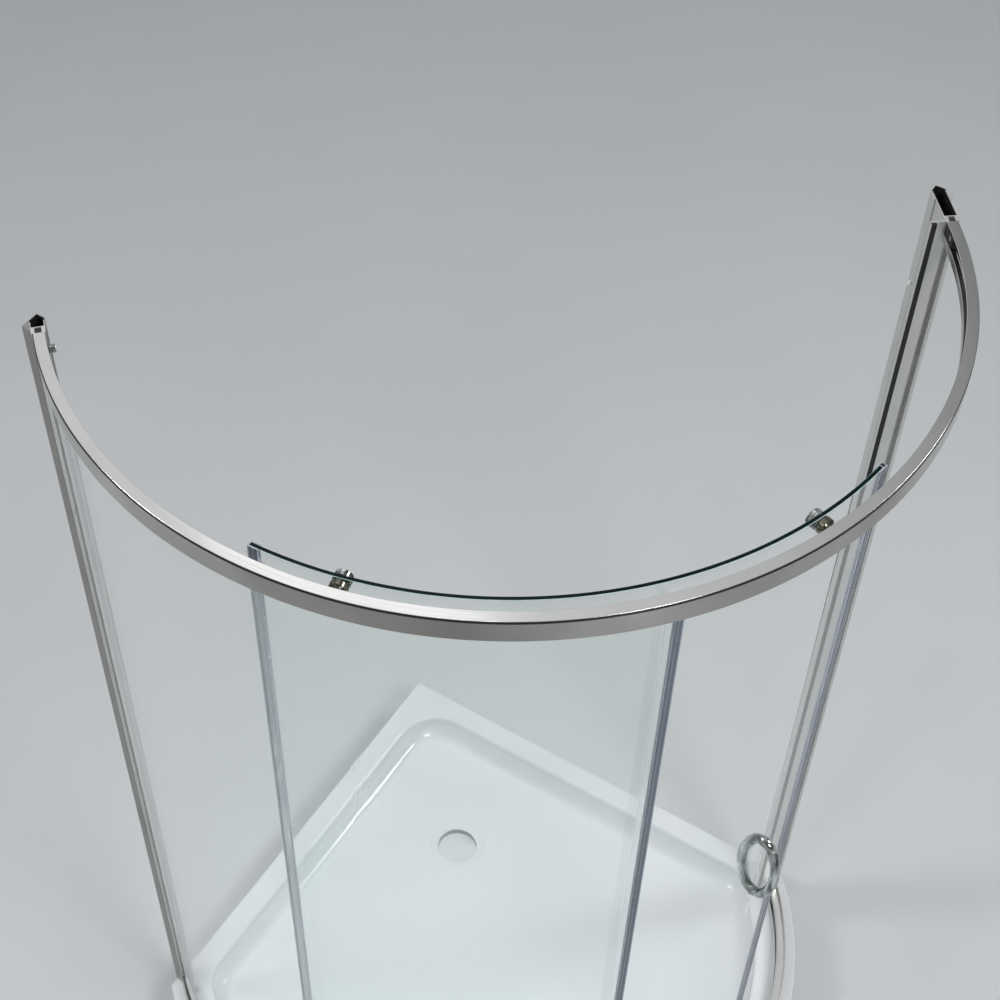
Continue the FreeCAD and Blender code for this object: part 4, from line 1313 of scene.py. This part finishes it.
@dataclass
class EdgeSeal:
    """Clear ribbed channel pushed over an upright edge of a pane."""

    bench: Bench
    node: str
    middle: float
    edge: float
    inward: float
    width: float
    web: float
    wall: float = 0.002
    rib_shares: tuple[Pair, ...] = ((0.0, 0.16), (0.55, 0.62), (0.95, 1.0))
    rib_slope: float = 0.03
    rib_depth: float = 0.0005
    corner: float = 0.00025
    corner_steps: int = 2
    blade: float = 0.0016
    blade_gap: float = 0.0015

    def section(self) -> list[Pair]:
        """Section of the channel as radius and run from its closed side.

        Returns:
            Corners of the section.
        """
        half = self.bench.front.glass / 2.0
        outside = self.middle + half + self.wall
        inside = self.middle - half - self.wall
        outer_face = [(outside - sink, share * self.width) for share, sink in self.ribbing()]
        inner_face = [(inside + sink, share * self.width) for share, sink in self.ribbing()]
        mouth = [(self.middle + half, self.width), (self.middle + half, self.web),
                 (self.middle - half, self.web), (self.middle - half, self.width)]
        return outer_face + mouth + inner_face[::-1]

    def ribbing(self) -> list[Pair]:
        """Corners across a ribbed face.

        Returns:
            Share of the width and sink below the ribs, four corners for each groove.
        """
        corners: list[Pair] = []
        for first, last in self.rib_shares:
            if first > 0.0:
                corners += [(first - self.rib_slope, self.rib_depth), (first, 0.0)]
            else:
                corners.append((first, 0.0))
            corners.append((last, 0.0))
            if last < 1.0:
                corners.append((last + self.rib_slope, self.rib_depth))
        return corners

    def groove_sides(self) -> dict[int, int]:
        """Finish number 1, painted groove shade, for the sides of the section that lie in grooves.

        Returns:
            Finish numbers by side.
        """
        ribbing = self.ribbing()
        outer = [side for side in range(len(ribbing) - 1)
                 if ribbing[side][1] or ribbing[side + 1][1]]
        last = 2 * len(ribbing) + 2
        return {side: 1 for side in outer + [last - side for side in outer]}

    def prism(self, section: Sequence[Pair], low: float, high: float,
              numbers: Optional[dict[int, int]] = None, ends: int = 0) -> Shape:
        """Upright prism on a section.

        Args:
            section: corners as radius and run.
            low: level of its foot.
            high: level of its head.
            numbers: finish numbers by side of the section, 0 if left out.
            ends: finish number of its foot and head.

        Returns:
            The shape.
        """
        outline = fillet(section, self.corner, self.corner_steps)
        shape = Shape()
        shape.loft([[self.point(pair, height) for pair in outline] for height in (low, high)],
                   sides=side_finishes(len(section), numbers or {}, self.corner_steps), ends=ends)
        return shape

    def channel(self) -> bpy.types.Object:
        """Build and dress the channel.

        Returns:
            The piece, with further finishes 1, painted shade, for its grooves and 2 for a blade.
        """
        low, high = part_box(self.node)
        shape = self.prism(self.section(), low.z, high.z, self.groove_sides())
        return self.bench.close(shape, self.node, Look.SEAL_GROOVE_PAINTED_SHADE, Look.SEAL_BLADE)

    def build_bladed(self, near: float, far: float) -> None:
        """Build the channel with a thin clear blade at its mouth, as tall as the fixed pane's seal.

        Args:
            near, far: radii where the blade begins and ends.
        """
        low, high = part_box("fixed_edge_seal")
        section = self.bar(near, far, self.width - self.blade, self.width)
        clear = {side: 2 for side in range(len(section))}
        self.bench.join(self.channel(), self.prism(section, low.z, high.z, clear, 2), Join.ON)

    def point(self, pair: Pair, height: float) -> Vector:
        """Point of the section at a height."""
        radius, run = pair
        bearing = self.edge + self.inward * Plan.spread(run, self.middle)
        return self.bench.plan.point(radius, bearing, height)

    @staticmethod
    def bar(near: float, far: float, first: float, last: float) -> list[Pair]:
        """Four corners between two radii and two runs."""
        return [(near, first), (far, first), (far, last), (near, last)]


@dataclass
class FixedPanel:
    """Fixed pane with the seal on its free edge."""

    bench: Bench

    def build(self) -> None:
        """Build and dress the pane and its seal."""
        front = self.bench.front
        pane = Pane(self.bench, "fixed_glass", front.rail_middle, front.fixed_glass_start,
                    front.fixed_glass_end)
        self.bench.close(pane.shape(), "fixed_glass", Look.GLASS_EDGE, Look.GLASS_ARRIS)
        seal = EdgeSeal(self.bench, "fixed_edge_seal", front.rail_middle, front.fixed_edge, -1.0,
                        front.fixed_seal_width, front.seal_over_edge)
        root = front.rail_middle - front.glass / 2.0 - seal.wall
        tip = front.door_outer + seal.wall + seal.blade_gap
        seal.build_bladed(tip, root + seal.rib_depth)


@dataclass
class Door:
    """Sliding pane with its two seals, magnet and wiper."""

    bench: Bench
    axle_hole: float = 0.0032
    hole_past: float = 0.005
    hole_segments: int = 32
    magnet_edge: float = 0.0003
    wiper_corner: float = 0.0008

    def build(self) -> None:
        """Build and dress the door."""
        self.build_glass()
        self.build_left_seal()
        self.build_right_seal()
        self.bench.soften("door_magnet", self.magnet_edge)
        self.build_wiper()

    def build_glass(self) -> None:
        """Build the pane and drill it for the rollers and the handle."""
        front = self.bench.front
        pane = Pane(self.bench, "door_glass", front.door_middle, front.door_glass_start,
                    front.door_glass_end)
        piece = self.bench.close(pane.shape(), "door_glass", Look.GLASS_EDGE, Look.GLASS_ARRIS)
        holes = Shape()
        profile = [(front.door_inner - self.hole_past, self.axle_hole),
                   (front.door_outer + self.hole_past, self.axle_hole)]
        for bearing, height in self.bench.roller_places() + self.bench.stud_places():
            station = self.bench.plan.station(bearing, height)
            holes.lathe(profile, station, segments=self.hole_segments, finish=1)
        self.bench.join(piece, holes, Join.AWAY)

    def build_left_seal(self) -> None:
        """Build the left seal, with its blade towards the fixed pane."""
        front = self.bench.front
        seal = EdgeSeal(self.bench, "door_left_seal", front.door_middle, front.door_left, 1.0,
                        front.door_seal_width, front.seal_over_edge)
        root = front.door_outer + seal.wall - seal.rib_depth
        seal.build_bladed(root, front.rail_inner - seal.blade_gap)

    def build_right_seal(self) -> None:
        """Build the right seal, with the pocket for its magnet."""
        front = self.bench.front
        web = front.magnet_width + front.seal_over_edge
        seal = EdgeSeal(self.bench, "door_right_seal", front.door_middle, front.door_right, -1.0,
                        front.door_seal_width, web)
        piece = seal.channel()
        low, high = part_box("door_right_seal")
        skin = front.seal_over_edge / 2.0
        pocket = seal.bar(front.door_inner, front.door_outer, skin, skin + front.magnet_width)
        tool = seal.prism(pocket, low.z - self.hole_past, high.z + self.hole_past)
        self.bench.join(piece, tool, Join.AWAY)

    def build_wiper(self) -> None:
        """Build the soft strip under the pane."""
        front = self.bench.front
        low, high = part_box("door_wiper")
        half = front.wiper_width / 2.0
        near = front.door_middle - half
        far = front.door_middle + half
        outline = fillet([(near, low.z), (far, low.z), (far, high.z), (near, high.z)],
                         self.wiper_corner)
        self.bench.sweep("door_wiper", outline, (front.door_glass_start, front.door_glass_end))


@dataclass
class Rollers:
    """Roller sets: caps inside, flanges outside, axles and grooved wheels."""

    bench: Bench
    cap_radius: float = 0.01225
    cap_face: float = 0.59993
    cap_length: float = 0.009
    cap_round: float = 0.0015
    socket_radius: float = 0.0032
    socket_depth: float = 0.0055
    flange_radius: float = 0.012
    flange_start: float = 0.608
    flange_length: float = 0.008
    groove: float = 0.0006
    dish_start: float = 0.0015
    dish_end: float = 0.0062
    dish_rim: float = 0.0070
    waist_share: float = 0.6
    nose_steps: int = 5
    ring_shares: tuple[Pair, ...] = ((0.0, 0.0), (0.25, 1.0), (0.5, 1.0), (0.75, 0.0))
    face_rings: int = 4
    ring_pitch: float = 0.0016
    small_edge: float = 0.0004

    def build(self) -> None:
        """Build and dress the four roller sets."""
        caps = Shape()
        flanges = Shape()
        for bearing, height in self.bench.roller_places():
            station = self.bench.plan.station(bearing, height)
            caps.lathe(self.cap_profile(), station)
            flanges.lathe(self.flange_profile(), station, ring=True, finish=1)
        self.bench.close(caps, "roller_caps")
        self.bench.close(flanges, "roller_flanges", Look.ROLLER_FACE)
        self.bench.soften("roller_washers", self.small_edge)
        self.bench.soften("roller_axles", self.small_edge)
        self.bench.soften("axle_clips", self.small_edge / 2.0)
        for wheel in self.bench.wheels():
            self.bench.soften(wheel, self.small_edge)

    def cap_profile(self) -> list[Pair]:
        """Cap from the middle of its dished front round to its socket.

        Returns:
            Pairs along the axle and away from it.
        """
        front = self.cap_face - self.cap_length
        edge = self.cap_radius
        dish = [(front + self.groove, self.dish_start), (front + self.groove, self.dish_end),
                (front, self.dish_rim)]
        nose = [(front + self.cap_round * (1.0 - math.sin(a)),
                 edge - self.cap_round * (1.0 - math.cos(a)))
                for a in reversed(quarter(self.nose_steps))]
        ring = front + self.waist_share * self.cap_length
        waist = [(ring, edge), (ring + self.groove, edge - self.groove),
                 (ring + 2.0 * self.groove, edge - self.groove), (ring + 3.0 * self.groove, edge)]
        back = [(self.cap_face - self.groove, edge), (self.cap_face, edge - self.groove),
                (self.cap_face, self.socket_radius),
                (self.cap_face - self.socket_depth, self.socket_radius)]
        return dish + nose + waist + back

    def flange_profile(self) -> list[Pair]:
        """Flange with broken edges, a groove round its middle and turned rings on its outer face.

        Returns:
            Pairs along the axle and away from it.
        """
        start = self.flange_start
        end = start + self.flange_length
        middle = (start + end) / 2.0
        edge = self.flange_radius
        cut = self.groove
        rings: list[Pair] = []
        for ring in range(1, self.face_rings + 1):
            for share, sink in self.ring_shares:
                rings.append((end - sink * cut, edge - (ring + share) * self.ring_pitch))
        return [(start, self.socket_radius), (start, edge - cut), (start + cut, edge),
                (middle - 2.0 * cut, edge), (middle - cut, edge - cut), (middle + cut, edge - cut),
                (middle + 2.0 * cut, edge), (end - cut, edge), (end, edge - cut), *rings,
                (end, self.socket_radius)]


@dataclass
class Handle:
    """Ring handle: two half ovals of tube, back to back through the pane."""

    bench: Bench
    half_height: float = 0.073
    depth: float = 0.034
    end_radius: float = 0.022
    tube: float = 0.008
    outer_seat: float = 0.608
    inner_seat: float = 0.599933
    end_steps: int = 14
    side_steps: int = 30
    segments: int = 40
    washer_edge: float = 0.0003
    bearing: float = field(init=False)
    height: float = field(init=False)

    def __post_init__(self) -> None:
        """Take the handle's place from its studs."""
        (self.bearing, low), (_, high) = self.bench.stud_places()
        self.height = (low + high) / 2.0

    def build(self) -> None:
        """Build and dress both halves, their washers and studs."""
        middle = self.bench.front.door_middle
        for node, way, seat in (("handle_outer", 1.0, self.outer_seat),
                                ("handle_inner", -1.0, self.inner_seat)):
            shape = Shape()
            shape.loft(self.tube_loops(way, abs(seat - middle)))
            self.bench.close(shape, node)
        self.bench.soften("handle_washers", self.washer_edge)
        self.bench.soften("handle_studs", self.washer_edge)

    def path(self, seat: float) -> list[tuple[Pair, Pair]]:
        """Half oval of three tangent arcs, from the lower seat up.

        Args:
            seat: depth where the tube begins.

        Returns:
            Points and directions as (depth, height) pairs.
        """
        rise = self.half_height - self.end_radius
        spare = self.depth - self.end_radius
        side = (self.depth ** 2 + rise ** 2 - self.end_radius ** 2) / (2.0 * spare)
        lean = math.atan2(rise, side - self.depth)
        begin = math.acos(seat / self.end_radius)
        stations: list[tuple[Pair, Pair]] = []
        for step in range(self.end_steps + 1):
            angle = begin + (lean - begin) * step / self.end_steps
            point = (self.end_radius * math.cos(angle),
                     -rise - self.end_radius * math.sin(angle))
            stations.append((point, (math.sin(angle), math.cos(angle))))
        for step in range(1, self.side_steps):
            angle = lean - 2.0 * lean * step / self.side_steps
            point = (self.depth - side + side * math.cos(angle), -side * math.sin(angle))
            stations.append((point, (math.sin(angle), math.cos(angle))))
        mirrored = [((depth, -height), (-out, up))
                    for (depth, height), (out, up) in stations[:self.end_steps + 1]]
        return stations + mirrored[::-1]

    def tube_loops(self, way: float, seat: float) -> list[Loop]:
        """Rings of the tube, the first and last cut square to the pane.

        Args:
            way: 1 outside the pane, -1 inside it.
            seat: depth where the tube begins.

        Returns:
            The rings in order.
        """
        station = self.bench.plan.station(self.bearing, self.height)
        middle = self.bench.front.door_middle
        path = self.path(seat)
        loops = []
        for index, ((depth, height), (out, up)) in enumerate(path):
            loop = []
            for segment in range(self.segments):
                angle = math.tau * segment / self.segments
                across = self.tube * math.cos(angle)
                lift = self.tube * math.sin(angle)
                far = depth - lift * up
                high = height + lift * out
                if index in (0, len(path) - 1):
                    high += (depth - far) * up / out
                    far = depth
                loop.append(station @ Vector((middle + way * far, across, high)))
            loops.append(loop)
        return loops


@dataclass(frozen=True)
class Softbox:
    """Lamp with an even square face."""

    name: str
    place: Triple
    side: float
    power: float
    target: Triple

    def hang(self) -> None:
        """Hang the lamp and turn it to its target."""
        data = bpy.data.lights.new(self.name, "AREA")
        data.shape = "RECTANGLE"
        data.size = self.side
        data.size_y = self.side
        data.energy = self.power
        lamp = bpy.data.objects.new(self.name, data)
        lamp.location = self.place
        way = Vector(self.target) - Vector(self.place)
        lamp.rotation_euler = way.to_track_quat("-Z", "Y").to_euler()
        bpy.context.scene.collection.objects.link(lamp)
        LOG.info("%s: hung", self.name)


FLOOR = Plastic("pale_floor", srgb(206, 208, 210), srgb(202, 204, 206), gloss=0.6, haze=0.75,
                grain_size=1.0 / 60.0, grain_depth=0.0002, grain_detail=3.0, cloud_scale=1.3)


@dataclass
class Studio:
    """Pale floor, soft light and the camera."""

    bench: Bench
    floor_size: float = 30.0
    horizon: Colour = srgb(212, 213, 214)
    dim: Colour = srgb(121, 124, 124)
    glow: Colour = srgb(221, 221, 224)
    horizon_band: Pair = (0.10, 0.40)
    glow_way: Triple = (-0.433, 0.25, 0.866)
    glow_edge: Pair = (0.77, 0.95)
    lamps: tuple[Softbox, ...] = (
        Softbox("left_front", (-2.8, -1.8, 4.5), 1.0, 66.0, (0.0, 0.0, 0.8)),
        Softbox("right_front", (2.8, -1.2, 4.5), 1.0, 66.0, (0.0, 0.0, 0.8)),
        Softbox("right_back", (2.4, 2.8, 4.5), 1.0, 66.0, (0.0, 0.0, 0.8)),
        Softbox("rail_glow", (-1.4, 1.42, 4.8), 0.9, 1.5, (0.0, -0.5, 1.9)),
        Softbox("spark", (0.25, -0.7, 4.6), 0.2, 8.0, (0.0, 0.0, 0.0)),
    )
    drain_lamp_height: float = 0.045
    drain_lamp_shift: Pair = (-0.026, 0.042)
    drain_lamp_side: float = 0.18
    drain_lamp_power: float = 0.08
    camera_place: Triple = (0.87157, -1.55952, 3.56277)
    camera_turn: Triple = (40.0590, 0.7874, 33.3543)
    lens: float = 65.18
    sensor: float = 36.0
    shift: Pair = (0.0885, 0.0729)

    def build(self) -> None:
        """Set up everything round the object."""
        bpy.context.scene.view_settings.view_transform = "Standard"
        self.build_floor()
        self.build_sky()
        for lamp in (*self.lamps, self.drain_lamp()):
            lamp.hang()
        self.build_camera()

    def drain_lamp(self) -> Softbox:
        """Lamp under the tray that lights the floor below the drain.

        Returns:
            The lamp, not yet hung.
        """
        mounts = self.bench.frame["record"]["mounts"]
        east, north, _ = next(mount["pos_m"] for mount in mounts if mount["name"] == "drain")
        east += self.drain_lamp_shift[0]
        north += self.drain_lamp_shift[1]
        return Softbox("under_drain", (east, north, self.drain_lamp_height), self.drain_lamp_side,
                       self.drain_lamp_power, (east, north, 0.0))

    def build_floor(self) -> None:
        """Lay the floor."""
        half = self.floor_size / 2.0
        data = bpy.data.meshes.new("floor")
        corners = [(-half, -half, 0.0), (half, -half, 0.0), (half, half, 0.0), (-half, half, 0.0)]
        data.from_pydata(corners, [], [(0, 1, 2, 3)])
        data.materials.append(FLOOR.material(self.bench.plan))
        floor = bpy.data.objects.new("floor", data)
        bpy.context.scene.collection.objects.link(floor)
        LOG.info("floor: laid")

    def build_sky(self) -> None:
        """Surround the object with a pale horizon, a dimmer sky and a glow at the upper left."""
        graph = Graph(bpy.data.worlds.new("soft_sky"))
        way = graph.add("TexCoord", {}).outputs["Generated"]
        height = graph.add("SeparateXYZ", {0: way}).outputs["Z"]
        towards = graph.add("VectorMath", {0: way, 1: self.glow_way}, operation="DOT_PRODUCT")
        colour = graph.passage(height, self.horizon_band, self.horizon, self.dim)
        colour = graph.passage(towards.outputs["Value"], self.glow_edge, colour, self.glow)
        light = graph.add("Background", {"Color": colour}).outputs[0]
        bpy.context.scene.world = graph.done(light)

    def build_camera(self) -> None:
        """Set the camera where the photograph was taken from."""
        data = bpy.data.cameras.new("camera")
        data.sensor_width = self.sensor
        data.lens = self.lens
        data.shift_x, data.shift_y = self.shift
        camera = bpy.data.objects.new("camera", data)
        camera.location = self.camera_place
        camera.rotation_euler = Euler([math.radians(angle) for angle in self.camera_turn])
        bpy.context.scene.collection.objects.link(camera)
        bpy.context.scene.camera = camera


def main() -> None:
    """Build the enclosure and its studio."""
    logging.basicConfig(level=logging.INFO, format="%(name)s: %(message)s")
    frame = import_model()
    axis = next(joint["pos_m"] for joint in frame["joints"] if joint["name"] == "door_travel")
    plan = Plan(axis[0], axis[1])
    bench = Bench(frame, plan, Front(axis[0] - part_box("tray")[0].x))
    for assembly in (Tray, WallProfiles, Rails, FixedPanel, Door, Rollers, Handle, Studio):
        assembly(bench).build()
        LOG.info("%s: done", assembly.__name__)


if __name__ == "__main__":
    main()
